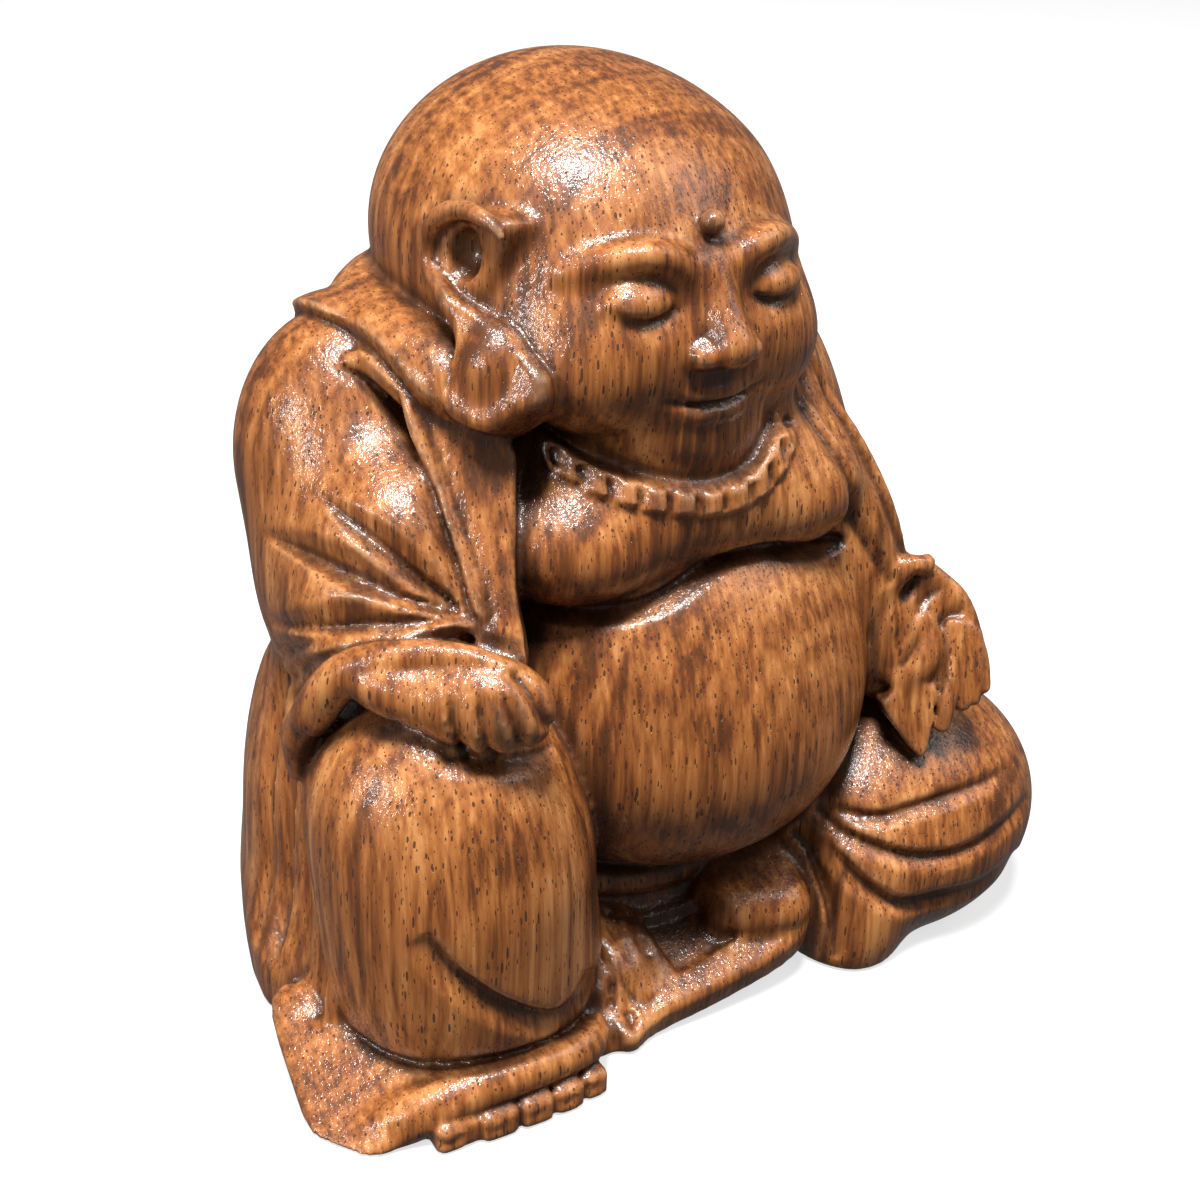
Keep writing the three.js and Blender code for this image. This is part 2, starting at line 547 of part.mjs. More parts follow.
function cuffFolds() {
  const folds = [
    [[-43, -5, 42], [-41, -9, 45], [-38, -17, 50], [-33, -21.5, 52], [-28.5, -22.3, 52]],
    [[-43, -6, 39.5], [-40.5, -10, 43], [-38.5, -17.5, 48.5], [-34.5, -21.7, 51.5], [-29.5, -23.5, 51.5],
      [-26.5, -25.2, 51.3]],
    [[-42, -7, 37], [-39.5, -12.5, 42.5], [-37.8, -20, 49], [-33.5, -23.2, 51.5], [-28, -25.2, 51.8],
      [-23.5, -29, 51]],
  ];
  for (const path of folds) {
    knife(NEAR, 1, 1.5, 1, path, { reach: 8 });
  }
}

function cuff() {
  clay.add(limb([[-41, -14, 34, 1.4], [-41, -15.5, 38.5, 2], [-40, -18, 43, 2.3], [-38.2, -20.5, 47.3, 2.3],
    [-35.5, -23.3, 50, 2],
    [-31.5, -25.8, 51.3, 1.6], [-27.5, -28.7, 51.6, 1.3], [-24.5, -31, 50.8, 1.1]]), 0.3);
}

function drapeFolds() {
  for (const [top, foot] of [[-3, -4], [-8, -9], [-13, -14.5], [-18, -20]]) {
    knife(SIDE, 1.5, 1, 2.4, [[-40.5, top, 41], [-42, top, 30], [-43, foot, 18], [-44, foot - 1, 6]]);
  }
}

function kneeFolds() {
  knife(CORNER, 1.8, 0.8, 3, [[-34.5, -34.5, 25], [-32, -36, 21], [-26.5, -36.5, 15.5], [-20, -35.5, 11.5],
    [-14.5, -31, 13]]);
}

function leftLegFolds() {
  knife(CORNER, 1.2, 0.9, 1.8, [[18, -22.5, 21], [20.5, -25, 20.5], [24, -26.5, 20], [28, -27, 20.5],
    [35, -26.5, 21], [45, -23.5, 20.5]]);
  knife(CORNER, 1.4, 0.9, 2, [[18, -22.5, 20.5], [20, -26, 18.5], [24.5, -28.5, 16.5], [29.5, -29.5, 15],
    [36.5, -29.5, 15], [48, -24, 16]]);
  knife(CORNER, 1.4, 0.9, 2, [[18, -24.5, 17.5], [20, -27.5, 14.5], [22.5, -29, 12], [26.5, -30, 9.5],
    [32.5, -30, 9], [39, -29, 8.5],
    [47, -25, 9]]);
  knife(CORNER, 1.2, 2.4, 0.8, [[15.5, -21.5, 17], [17, -24, 15], [18.5, -27, 8.5], [19, -28, 2]]);
}

function breastCrease() {
  const under = [[-15.9, -15.7, 49.7], [-12.5, -18.8, 49.7], [-8.4, -20.9, 50.2], [-4.6, -22, 51.2],
    [-0.5, -21.6, 52.8],
    [4, -21.1, 54.4], [8.4, -22, 54.9], [12.1, -21, 53.9], [16.7, -18.3, 52.3], [20.5, -17.5, 52.1]];
  knife(FRONT, 1.3, 0.9, 1.5, under, { taper: "none" });
}

function necklace() {
  const band = [[-15.5, -15, 72], [-13.5, -14.5, 68.3], [-11.5, -17, 66.6], [-8, -20, 65],
    [-3.4, -22, 63.7], [0.9, -22.3, 63.2],
    [5.1, -21.7, 64], [9.6, -18.9, 67.2], [13, -17, 66.5], [10.5, -21.6, 63.8], [5.9, -23.3, 61], [1, -23.5,
      60.2],
    [-3.8, -23.2, 60.9], [-7.5, -22.4, 61.8], [-11, -20.9, 63], [-13.5, -18.4, 64.3], [-15.8, -15.3,
      65.8], [-17.5, -14, 71]];
  clay.relief(band, { look: FRONT, height: 0.9, edge: 0.6, reach: 9, perSpan: 3 });
  const above = [[-15, -16, 69.6], [-12.5, -18.5, 67.6], [-8.5, -21, 65.9], [-3.5, -22.5, 64.6],
    [1, -22.5, 64], [5.5, -22, 64.9],
    [9.5, -19, 68]];
  knife(FRONT, 1, 3, 0.8, above, { taper: "none", reach: 9 });
}

function leftLapelFolds() {
  knife([15, 10], 1.1, 1.1, 2.4, [[13.5, -12, 72], [18.5, -17, 62], [24, -19, 52], [27.5, -19, 46]]);
  knife([20, 10], 1.1, 1.1, 2.4, [[17, -8, 74], [23, -10, 62], [28.5, -13, 50], [31, -14, 46]]);
}

// The block goes on a little way below the ground, where it is cut off level.
function underside() {
  clay.step([[-60, -50, -5], [70, 40, 0]], 0, (d, x, y, z) => Math.max(d, BELOW - z));
}

// The masses come first, then the knife work on the dress, then the hands and the head.
const works = [robeBody, collar, belly, chest, rightLapel, rightSleeve, leftSleeve, drape, rightLeg,
  leftLeg, hem, rightToes, leftFoot, mantle, sleeveRim, sleeveCuts, cuffFolds, cuff, drapeFolds, kneeFolds,
  leftLegFolds, breastCrease, necklace, leftLapelFolds, rightHand, leftHand, skull];
for (const work of works) {
  work();
}
face();
ear(-1, -4);
ear(1, 3);
underside();

// Solid
const CELLS = 10;

// Field values on a grid, worked out only in the blocks that the surface can pass through.
function surfaceBlocks(clay, lo, hi, cell) {
  const blocks = [], span = cell * CELLS, reach = span * 0.87 + 0.6;
  const counts = [0, 1, 2].map((k) => Math.ceil((hi[k] - lo[k]) / span));
  const across = counts[0], deep = counts[1];
  for (let b = 0; b < across * deep * counts[2]; b++) {
    const [bx, by, bz] = [b % across, Math.floor(b / across) % deep, Math.floor(b / across / deep)];
    const at = [bx, by, bz].map((b, k) => lo[k] + b * span);
    const steps = clay.near(at, at.map((v) => v + span));
    if (!steps.length) continue;
    const middle = at.map((v) => v + span / 2);
    if (Math.abs(field(steps, ...middle)) > reach * 1.6) continue;
    blocks.push({ first: [bx, by, bz].map((b) => b * CELLS), at, steps });
  }
  return blocks;
}

// Triangles of the surface where the field is zero.
function surfaceOf(clay, lo, hi, cell) {
  const points = [], faces = [], known = new Map();
  const corner = [[0, 0, 0], [1, 0, 0], [1, 1, 0], [0, 1, 0], [0, 0, 1], [1, 0, 1], [1, 1, 1], [0, 1, 1]];
  const ends = [[0, 1], [1, 2], [3, 2], [0, 3], [4, 5], [5, 6], [7, 6], [4, 7], [0, 4], [1, 5], [2, 6],
    [3, 7]];
  const side = CELLS + 1;
  for (const { first, at, steps } of surfaceBlocks(clay, lo, hi, cell)) {
    const value = new Float64Array(side ** 3);
    for (let k = 0, o = 0; k < side; k++) for (let j = 0; j < side; j++) for (let i = 0; i < side; i++,
      o++) {
      value[o] = field(steps, at[0] + i * cell, at[1] + j * cell, at[2] + k * cell) || 1e-9;
    }
    for (let k = 0; k < CELLS; k++) for (let j = 0; j < CELLS; j++) for (let i = 0; i < CELLS; i++) {
      const v = corner.map(([a, b, c]) => value[((k + c) * side + j + b) * side + i + a]);
      let kind = 0;
      for (let c = 0; c < 8; c++) if (v[c] < 0) kind |= 1 << c;
      if (!edgeTable[kind]) continue;
      const vertex = (edge) => {
        const [a, b] = ends[edge], g = corner[a].map((d, q) => first[q] + [i, j, k][q] + d);
        const axis = corner[b].findIndex((d, q) => d !== corner[a][q]);
        const key = ((g[2] * 1024 + g[1]) * 1024 + g[0]) * 3 + axis;
        if (!known.has(key)) {
          const t = Math.min(0.98, Math.max(0.02, v[a] / (v[a] - v[b])));
          known.set(key, points.length / 3);
          points.push(...g.map((d, q) => lo[q] + (d + (q === axis ? t : 0)) * cell));
        }
        return known.get(key);
      };
      for (let e = kind * 16; triTable[e] !== -1; e += 3) {
        faces.push(vertex(triTable[e]), vertex(triTable[e + 2]), vertex(triTable[e + 1]));
      }
    }
  }
  return { points, faces };
}

const crossOf = (p, q, r) => {
  const a = q.map((v, k) => v - p[k]), b = r.map((v, k) => v - p[k]);
  return [a[1] * b[2] - a[2] * b[1], a[2] * b[0] - a[0] * b[2], a[0] * b[1] - a[1] * b[0]];
};

// Joins the two ends of the edge that changes the shape least, again and again, down to count triangles.
function simplify({ points, faces }, count) {
  const total = points.length / 3, at = Array.from({ length: total },
    (_, i) => points.slice(3 * i, 3 * i + 3));
  const around = Array.from({ length: total }, () => new Set()), shape = Array.from({ length: total },
    () => new Float64Array(10));
  const live = [], age = new Uint32Array(total);
  for (let f = 0; f < faces.length; f += 3) {
    const face = faces.slice(f,
      f + 3), c = crossOf(...face.map((v) => at[v])), area = Math.hypot(...c) || 1e-12;
    const [a, b,
      g] = c.map((v) => v / area), d = -(a * at[face[0]][0] + b * at[face[0]][1] + g * at[face[0]][2]);
    const plane = [a * a, a * b, a * g, a * d, b * b, b * g, b * d, g * g, g * d, d * d];
    for (const v of face) {
      around[v].add(live.length);
      for (let k = 0; k < 10; k++) shape[v][k] += plane[k] * area;
    }
    live.push(face);
  }
  const costAt = (q,
    [x, y, z]) => q[0] * x * x + 2 * q[1] * x * y + 2 * q[2] * x * z + 2 * q[3] * x + q[4] * y * y
    + 2 * q[5] * y * z + 2 * q[6] * y + q[7] * z * z + 2 * q[8] * z + q[9];
  const join = (u, w) => {
    const q = shape[u].map((v, k) => v + shape[w][k]), mid = at[u].map((v,
      k) => (v + at[w][k]) / 2), e = 1e-3 * (q[0] + q[4] + q[7]) + 1e-9;
    const m = [[q[0] + e, q[1], q[2]], [q[1], q[4] + e, q[5]],
      [q[2], q[5], q[7] + e]], r = [e * mid[0] - q[3], e * mid[1] - q[6], e * mid[2] - q[8]];
    const minor = (i, j) => {
      const [a, b] = [0, 1, 2].filter((k) => k !== i), [c, d] = [0, 1, 2].filter((k) => k !== j);
      return (m[a][c] * m[b][d] - m[a][d] * m[b][c]) * ((i + j) % 2 ? -1 : 1);
    };
    const det = m[0][0] * minor(0, 0) + m[0][1] * minor(0, 1) + m[0][2] * minor(0, 2);
    const spot = [0, 1, 2].map((k) => (minor(0, k) * r[0] + minor(1, k) * r[1] + minor(2, k) * r[2]) / det);
    const length = Math.hypot(...at[u].map((v, k) => v - at[w][k]));
    const fine = spot.every(Number.isFinite) && Math.hypot(...spot.map((v,
      k) => v - mid[k])) < 1.5 * length;
    const to = fine ? spot : mid;
    return { cost: costAt(q, to) + 1e-4 * length * length, to, q };
  };
  const heap = [];
  const push = (item) => {
    let i = heap.push(item) - 1;
    while (i > 0 && heap[(i - 1) >> 1].cost > item.cost) {
      heap[i] = heap[(i - 1) >> 1];
      i = (i - 1) >> 1;
    }
    heap[i] = item;
  };
  const pop = () => {
    const top = heap[0], item = heap.pop();
    if (!heap.length) return top;
    let i = 0;
    for (;;) {
      let c = 2 * i + 1;
      if (c >= heap.length) break;
      if (c + 1 < heap.length && heap[c + 1].cost < heap[c].cost) c++;
      if (heap[c].cost >= item.cost) break;
      heap[i] = heap[c];
      i = c;
    }
    heap[i] = item;
    return top;
  };
  const offer = (u, w) => push({ ...join(u, w), u, w, stamp: age[u] + age[w] });
  const neighbours = (u) => {
    const out = new Set();
    for (const f of around[u]) for (const v of live[f]) if (v !== u) out.add(v);
    return out;
  };
  for (let u = 0; u < total; u++) for (const w of neighbours(u)) if (u < w) offer(u, w);
  let left = live.length;
  while (left > count && heap.length) {
    const { u, w, to, q, stamp } = pop();
    if (!around[u].size || !around[w].size || stamp !== age[u] + age[w]) continue;
    const shared = [...around[u]].filter((f) => around[w].has(f)), near = neighbours(w);
    const common = [...neighbours(u)].filter((v) => near.has(v));
    if (shared.length !== 2 || common.length !== 2) continue;
    const turnsOver = (v) => [...around[v]].some((f) => {
      if (shared.includes(f)) return false;
      const before = crossOf(...live[f].map((p) => at[p]));
      const after = crossOf(...live[f].map((p) => (p === v ? to : at[p])));
      const size = Math.hypot(...before) * Math.hypot(...after);
      return dot(before, after) < 0.3 * size || Math.hypot(...after) < 1e-3;
    });
    if (turnsOver(u) || turnsOver(w)) continue;
    for (const f of shared) {
      for (const v of live[f]) around[v].delete(f);
      live[f] = null;
    }
    for (const f of around[w]) {
      live[f] = live[f].map((v) => (v === w ? u : v));
      around[u].add(f);
    }
    around[w].clear();
    at[u] = to;
    shape[u] = q;
    age[u]++;
    left -= 2;
    for (const v of neighbours(u)) {
      offer(u, v);
    }
  }
  const index = new Map(), outPoints = [], outFaces = [];
  for (const face of live) {
    if (!face) continue;
    for (const v of face) {
      if (!index.has(v)) {
        index.set(v, outPoints.length / 3);
        outPoints.push(...at[v]);
      }
      outFaces.push(index.get(v));
    }
  }
  return { points: outPoints, faces: outFaces };
}


const wasm = await Module();
wasm.setup();

function toManifold(geometry) {
  geometry.deleteAttribute('normal');
  geometry.deleteAttribute('uv');
  const merged = mergeVertices(geometry, 1e-4);
  const mesh = new wasm.Mesh({
    numProp: 3,
    vertProperties: new Float32Array(merged.attributes.position.array),
    triVerts: new Uint32Array(merged.index.array),
  });
  mesh.merge();
  return new wasm.Manifold(mesh);
}

function geometryOf(points, faces) {
  const geometry = new THREE.BufferGeometry();
  geometry.setAttribute('position', new THREE.Float32BufferAttribute(points, 3));
  geometry.setIndex([...faces]);
  return geometry;
}

// The figure in millimetres, cut level underneath and set over the middle of its own outline.
function figureGeometry() {
  const surface = simplify(surfaceOf(clay, LOW, HIGH, CELL), TRIANGLES);
  const level = surface.points.map((v, i) => (i % 3 === 2 && Math.abs(v) < 0.25 ? 0 : v));
  const body = toManifold(geometryOf(level.map((v) => v * UNIT), surface.faces));
  const room = new THREE.BoxGeometry(400, 400, 400);
  room.translate(0, 0, 200);
  const cut = body.intersect(toManifold(room)).getMesh();
  const geometry = geometryOf(Array.from(cut.vertProperties), Array.from(cut.triVerts));
  geometry.computeBoundingBox();
  const { min, max } = geometry.boundingBox;
  geometry.translate(-(min.x + max.x) / 2, -(min.y + max.y) / 2, -min.z);
  geometry.scale(1, 1, HEIGHT / (max.z - min.z));
  geometry.computeVertexNormals();
  return geometry;
}

const group_ = new THREE.Group();
group_.name = 'budai_figure';
const figure = new THREE.Mesh(figureGeometry(), new THREE.MeshStandardMaterial({ color: WOOD,
  roughness: 0.35 }));
figure.name = 'figure';
group_.add(figure);
export default group_;
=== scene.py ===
import math

import bpy
import numpy as np
from mathutils import Matrix, Vector


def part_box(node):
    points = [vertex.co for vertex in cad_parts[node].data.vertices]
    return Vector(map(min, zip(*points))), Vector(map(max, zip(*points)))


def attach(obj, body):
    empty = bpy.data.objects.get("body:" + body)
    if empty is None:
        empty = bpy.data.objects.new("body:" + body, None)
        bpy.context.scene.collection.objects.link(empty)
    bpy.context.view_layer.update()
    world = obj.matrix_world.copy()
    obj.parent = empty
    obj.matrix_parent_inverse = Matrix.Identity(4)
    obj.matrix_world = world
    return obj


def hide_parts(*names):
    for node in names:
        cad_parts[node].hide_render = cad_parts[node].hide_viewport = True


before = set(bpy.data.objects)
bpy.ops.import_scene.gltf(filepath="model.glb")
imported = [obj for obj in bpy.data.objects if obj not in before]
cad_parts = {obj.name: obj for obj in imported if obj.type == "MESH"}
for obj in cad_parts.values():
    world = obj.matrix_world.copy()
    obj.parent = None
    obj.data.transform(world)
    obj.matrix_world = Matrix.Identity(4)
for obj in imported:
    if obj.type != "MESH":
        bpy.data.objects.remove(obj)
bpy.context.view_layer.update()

# A carved and varnished hardwood figure. The carving is one field of distances, negative inside the wood.
# It is worked out in units of its own, of which the figure is about 102 high, and then scaled to metres.
# X is to the figure's left, Y to its back and Z up.

# The space that holds the figure, and the sides of the grid's cells
LOW = np.array([-50.0, -44.0, -1.8])
HIGH = np.array([60.0, 30.0, 105.0])
CELL = 0.44
# Cells along the smallest and the largest cube of the grid that is worked out in one go
SMALL_CUBE = 8
LARGE_CUBE = 32
# What the field holds where no wood is near
FAR = 30.0
# How far outside a shape's own box its soft join still counts
SURFACE_BAND = 1.6
# The least width of a knife stroke
NARROWEST = 0.6
MOST_TRIANGLES = 190000
# How far the points of the mesh move in turn towards their neighbours, and back
EVENING = [0.5, -0.52, 0.5, -0.52]
# Between the feet the wood was left rough; stain gathered there, and the recess gets painted shade.
FEET = np.array([-3.0, -22.0, 8.0])
FEET_REACH = np.array([12.0, 8.0, 6.5])

# The wood's tones from dark to light, each with its place on the scale of the grain
WOOD_TONES = [
    (0.48, (0.085, 0.027, 0.007, 1)),
    (0.54, (0.150, 0.043, 0.010, 1)),
    (0.60, (0.265, 0.085, 0.019, 1)),
    (0.66, (0.360, 0.128, 0.033, 1)),
    (0.72, (0.480, 0.200, 0.062, 1)),
]
PORE_BROWN = (0.050, 0.016, 0.006, 1)
RUBBED_WOOD = (0.520, 0.290, 0.145, 1)
# Near-black brown for the stain and painted shade in creases, hollows and between the feet
STAIN_AND_SHADE_BROWN = (0.030, 0.010, 0.004, 1)
WHITE = (1, 1, 1, 1)

# The photograph's camera: its angles in degrees, what it looks at and its distance in the figure's units
AZIMUTH = -25.5
ELEVATION = 26
ROLL = -2.2
LOOKS_AT = [-4.1, -8, 44.4]
DISTANCE = 201.5
SENSOR_WIDTH = 36.0
FOCAL_LENGTH = 53.7

# Soft lights, each with its place and the side of its square in metres, and its power in watts
LIGHTS = [
    ("above", (-0.35, -0.45, 1.95), 0.45, 82),
    ("side", (-1.9, -0.35, 0.75), 0.35, 21),
    ("fill", (0.9, -0.5, 1.2), 0.8, 7),
]
LIT_PLACE = (0.0, 0.0, 0.08)
ROOM_LIGHT = 0.14
ROOM_PALE = 0.95
FLOOR_HALF = 3.0
FLOOR_DROP = 0.0002


# Modelling tools

def soft_min(a, b, k):
    h = np.maximum(k - np.abs(a - b), 0) / k
    return np.minimum(a, b) - h * h * k * 0.25


def soft_max(a, b, k):
    return -soft_min(-a, -b, k)


def smooth(t):
    u = np.clip(t, 0, 1)
    return u * u * (3 - 2 * u)


def turn_rows(turn):
    """Rows of the matrix that takes the block's axes to a piece turned about X, then Y, then Z."""
    (cx, sx), (cy, sy), (cz, sz) = [(math.cos(math.radians(a)),
        math.sin(math.radians(a))) for a in turn]
    return np.array([
        [cy * cz, cy * sz, -sy],
        [sx * sy * cz - cx * sz, sx * sy * sz + cx * cz, sx * cy],
        [cx * sy * cz + sx * sz, cx * sy * sz - sx * cz, cx * cy],
    ])


def box_around(points, radius):
    corners = np.array(points, float)[:, :3]
    return corners.min(0) - radius, corners.max(0) + radius


def ellipsoid(centre, radii, turn=(0, 0, 0)):
    rows = turn_rows(turn)
    middle = np.array(centre, float)
    size = np.array(radii, float)

    def at(p):
        q = (p - middle) @ rows.T / size
        k0 = np.sqrt((q * q).sum(1))
        k1 = np.sqrt(((q / size) ** 2).sum(1))
        return k0 * (k0 - 1) / np.maximum(k1, 1e-6)

    return box_around([centre], max(radii)), at


def block(centre, half, radius, turn=(0, 0, 0)):
    rows = turn_rows(turn)
    middle = np.array(centre, float)
    size = np.array(half, float) - radius

    def at(p):
        q = np.abs((p - middle) @ rows.T) - size
        out = np.sqrt((np.maximum(q, 0) ** 2).sum(1))
        return out + np.minimum(q.max(1), 0) - radius

    return box_around([centre], math.hypot(*half)), at


def curve(points, per_span=5):
    """Points along a smooth curve through the given ones; any numbers after x, y, z come along."""
    p = np.array(points, float)
    if len(p) < 3:
        return p
    last = len(p) - 1
    out = []
    for i in range(last):
        p0, p1, p2, p3 = p[max(i - 1, 0)], p[i], p[i + 1], p[min(i + 2, last)]
        for s in range(per_span):
            t = s / per_span
            bend = (2 * p0 - 5 * p1 + 4 * p2 - p3) * t * t + (3 * p1 - p0 - 3 * p2 + p3) * t ** 3
            out.append(0.5 * (2 * p1 + (p2 - p0) * t + bend))
    out.append(p[last])
    return np.array(out)


def closed_curve(outline, per_span):
    """Points along a smooth closed curve, with the first one not repeated."""
    return curve([outline[-1], *outline, outline[0], outline[1]], per_span)[per_span:-per_span - 1]


def along_spans(p, start, run):
    """How far along each span its nearest point to each p lies, 0 to 1, and the way from there to p."""
    away = p[:, None, :] - start[None]
    share = np.clip((away * run[None]).sum(2) / np.maximum((run * run).sum(1), 1e-9), 0, 1)
    return share, away - share[..., None] * run[None]


def limb(points, per_span=5):
    """A round limb through points [x, y, z, radius]."""
    path = curve(points, per_span)
    start = path[:-1]
    run = path[1:] - start

    def at(p):
        share, away = along_spans(p, start[:, :3], run[:, :3])
        thick = start[:, 3] + share * run[:, 3]
        return (np.sqrt((away * away).sum(2)) - thick).min(1)

    return box_around(path, path[:, 3].max()), at


def carver_axes(look):
    """Right, up and towards a carver who stands at [azimuth, elevation], in degrees."""
    azimuth, elevation = [math.radians(a) for a in look]
    ca, sa, ce, se = math.cos(azimuth), math.sin(azimuth), math.cos(elevation), math.sin(elevation)
    return np.array([[ca, sa, 0], [-sa * se, ca * se, ce], [sa * ce, -ca * ce, se]])


def depth_inside(p, start, run):
    """How far flat points lie inside a closed outline, negative outside it."""
    _, away = along_spans(p, start, run)
    gap = np.sqrt((away * away).sum(2).min(1))
    end = start + run
    over = (start[:, 1] > p[:, 1:]) != (end[:, 1] > p[:, 1:])
    safe = np.where(np.abs(run[:, 1]) < 1e-12, 1e-12, run[:, 1])
    left = p[:, :1] < start[:, 0] + run[:, 0] / safe * (p[:, 1:] - start[:, 1])
    return np.where((over & left).sum(1) % 2 == 1, gap, -gap)


def plate(outline, look, back, front, flare=0.0, rounding=0.5, per_span=4):
    """A slab with a closed outline as a carver at look sees it. It runs from back behind the outline's
    middle to front before it, its sides lean out by flare towards the back and its edges are rounded."""
    axes = carver_axes(look)
    flat = closed_curve(outline, per_span) @ axes[:2].T
    run = np.roll(flat, -1, 0) - flat
    middle = (np.array(outline, float) @ axes[2]).mean()

    def at(p):
        q = p @ axes.T
        height = q[:, 2] - middle
        side = -depth_inside(q[:, :2], flat, run) + flare * (height - front) + rounding
        cap = np.maximum(height - front, -height - back) + rounding
        return np.minimum(np.maximum(side, cap), 0) + np.hypot(np.maximum(side, 0),
            np.maximum(cap, 0)) - rounding

    return box_around(outline, max(back, front) * (1 + flare) + 1), at


def group(shapes, blend):
    """Several shapes joined softly into one."""
    def at(p):
        d = shapes[0][1](p)
        for _, shape in shapes[1:]:
            d = soft_min(d, shape(p), blend)
        return d

    low = np.min([shape_box[0] for shape_box, _ in shapes], 0)
    high = np.max([shape_box[1] for shape_box, _ in shapes], 0)
    return (low, high), at


def without(shape, other, blend=0.3):
    """A shape with another one taken off it."""
    box, at = shape
    return box, lambda p: soft_max(at(p), -other[1](p), blend)


TAPERS = {
    "none": lambda t: 1.0,
    "both": lambda t: np.sqrt(np.clip(4 * t * (1 - t), 0, 1)),
    "start": lambda t: np.sqrt(np.clip(4 * t, 0, 1)),
}


class Clay:
    """The steps of the carving, in order, each with the box of space that it can touch."""

    def __init__(self):
        self.steps = []

    def step(self, box, reach, apply):
        self.steps.append((np.array(box[0], float) - reach, np.array(box[1], float) + reach, apply))

    def add(self, shape, blend=0.4):
        box, at = shape
        self.step(box, blend + SURFACE_BAND, lambda d, p: soft_min(d, at(p), blend))

    def cut(self, shape, blend=0.4):
        box, at = shape
        self.step(box, blend + SURFACE_BAND, lambda d, p: soft_max(d, -at(p), blend))

    def stroke(self, path, look, widths, depth, taper="both", reach=7.0, lens=False):
        """A knife stroke along a path on the surface, seen by a carver at look. Its widths are to the
        left and right of the path. A lens stroke narrows to both its ends."""
        axes = carver_axes(look)
        flat = curve(path, 6) @ axes.T
        start = flat[:-1]
        run = flat[1:] - start
        count = len(start)

        def apply(d, p):
            q = p @ axes.T
            share, away = along_spans(q[:, :2], start[:, :2], run[:, :2])
            gap = (away * away).sum(2)
            best = gap.argmin(1)
            rows = np.arange(len(p))
            t = share[rows, best]
            rest = q[:, :2] - start[best, :2]
            side = run[best, 0] * rest[:, 1] - run[best, 1] * rest[:, 0]
            along = (best + t) / count
            height = q[:, 2] - start[best, 2] - t * run[best, 2]
            narrow = np.maximum(4 * along * (1 - along), 0) if lens else 1.0
            width = np.maximum(np.where(side > 0, widths[0], widths[1]) * narrow, NARROWEST)
            profile = np.maximum(1 - np.sqrt(gap[rows, best]) / width, 0)
            fade = TAPERS[taper](along)
            near = 1 - smooth((np.abs(height) - 0.6 * reach) / (0.4 * reach))
            return d + depth * profile * narrow * fade * near

        self.step(box_around(path, max(reach, *widths)), 0, apply)

    def relief(self, outline, look, height, edge=0.6, reach=7.0, per_span=4):
        """Raises the surface inside a closed outline that a carver at look draws on it, with a bevel edge
        wide all round. A negative height sinks it."""
        axes = carver_axes(look)
        start = closed_curve(outline, per_span) @ axes[:2].T
        run = np.roll(start, -1, 0) - start
        middle = (np.array(outline, float) @ axes[2]).mean()

        def apply(d, p):
            q = p @ axes.T
            inside = np.clip(depth_inside(q[:, :2], start, run) / edge, 0, 1)
            near = 1 - smooth((np.abs(q[:, 2] - middle) - 0.6 * reach) / (0.4 * reach))
            return d - height * inside * near

        self.step(box_around(outline, reach), 0, apply)


def touching(steps, low, high):
    """The steps whose boxes meet the one from low to high."""
    return [step for step in steps if (step[0] <= high).all() and (step[1] >= low).all()]


def field(steps, p):
    """The steps worked out one after the other at the points p."""
    d = np.full(len(p), FAR)
    for _, _, apply in steps:
        d = apply(d, p)
    return d


clay = Clay()


# Helpers that the figure's own parts share

def moved(path, by):
    return [[p[0] + by[0], p[1] + by[1], p[2] + by[2], *p[3:]] for p in path]


def knife(look, depth, left, right, path, **more):
    """A stroke of the knife, left and right wide on its two sides."""
    clay.stroke(path, look, (left, right), depth, **more)


# The head has its own frame, turned a little to the figure's left.
HEAD = [-3, 0]
HEAD_TURN = 10
FACING = [HEAD_TURN, 5]
AHEAD = math.cos(math.radians(HEAD_TURN))
ASIDE = math.sin(math.radians(HEAD_TURN))


def on_head(path):
    return [[HEAD[0] + AHEAD * p[0] - ASIDE * p[1], HEAD[1] + ASIDE * p[0] + AHEAD * p[1],
        *p[2:]] for p in path]


def head_mass(centre, radii):
    return ellipsoid(on_head([centre])[0], radii, [0, 0, HEAD_TURN])


def on_ear(path, side, back):
    return on_head([[p[0] * side, p[1] + back, *p[2:]] for p in path])


def band_between(left, right):
    """The closed outline of a band between two lines that run the same way."""
    return [*left, *right[::-1]]


# The parts of the figure. The carver's places are in degrees: round from the front, positive to the
# figure's left, and up.
ABOVE = [0, 90]
CORNER = [-25, 26]
NEAR = [-45, 20]
SIDE = [-75, 10]
FRONT = [0, 8]
FAN = [-20, 15]
BEHIND = [180, 4]


def robe_body():
    clay.add(ellipsoid([0, 4, 42], [35, 18.5, 44]), 1)
    clay.add(ellipsoid([-1, 6, 63], [28.5, 14, 16]), 6)
    clay.add(ellipsoid([-27, 1, 12], [15, 20, 36]), 6)
    clay.add(ellipsoid([28, 4, 14], [19, 18, 30]), 6)
    clay.add(ellipsoid([1, 3, 18], [42, 20.5, 42]), 6)
    foot = [[-43, -12, 0], [-40, 6, 0], [-31, 16.5, 0], [-5, 21.5, 0], [24, 20.5, 0], [39, 13, 0],
        [45, 0, 0], [43, -12, 0], [24, -22, 0], [0, -20, 0], [-22, -23, 0]]
    clay.add(plate(foot, look=ABOVE, back=3, front=9, rounding=5), 9)


def collar():
    clay.add(limb([[-9, 18, 75, 4], [-21, 11, 75.5, 4.6], [-26, 3, 74.4, 4.6], [-25.5, -5, 73.6, 4.5],
        [-23.5, -10.5, 73, 3.8]]), 2)
    clay.add(limb([[3, 18, 75, 4], [14, 10, 75, 4.5], [18, 0, 74, 4.5], [18, -8, 69, 3.5],
        [17, -13, 64, 2.5]]), 1)


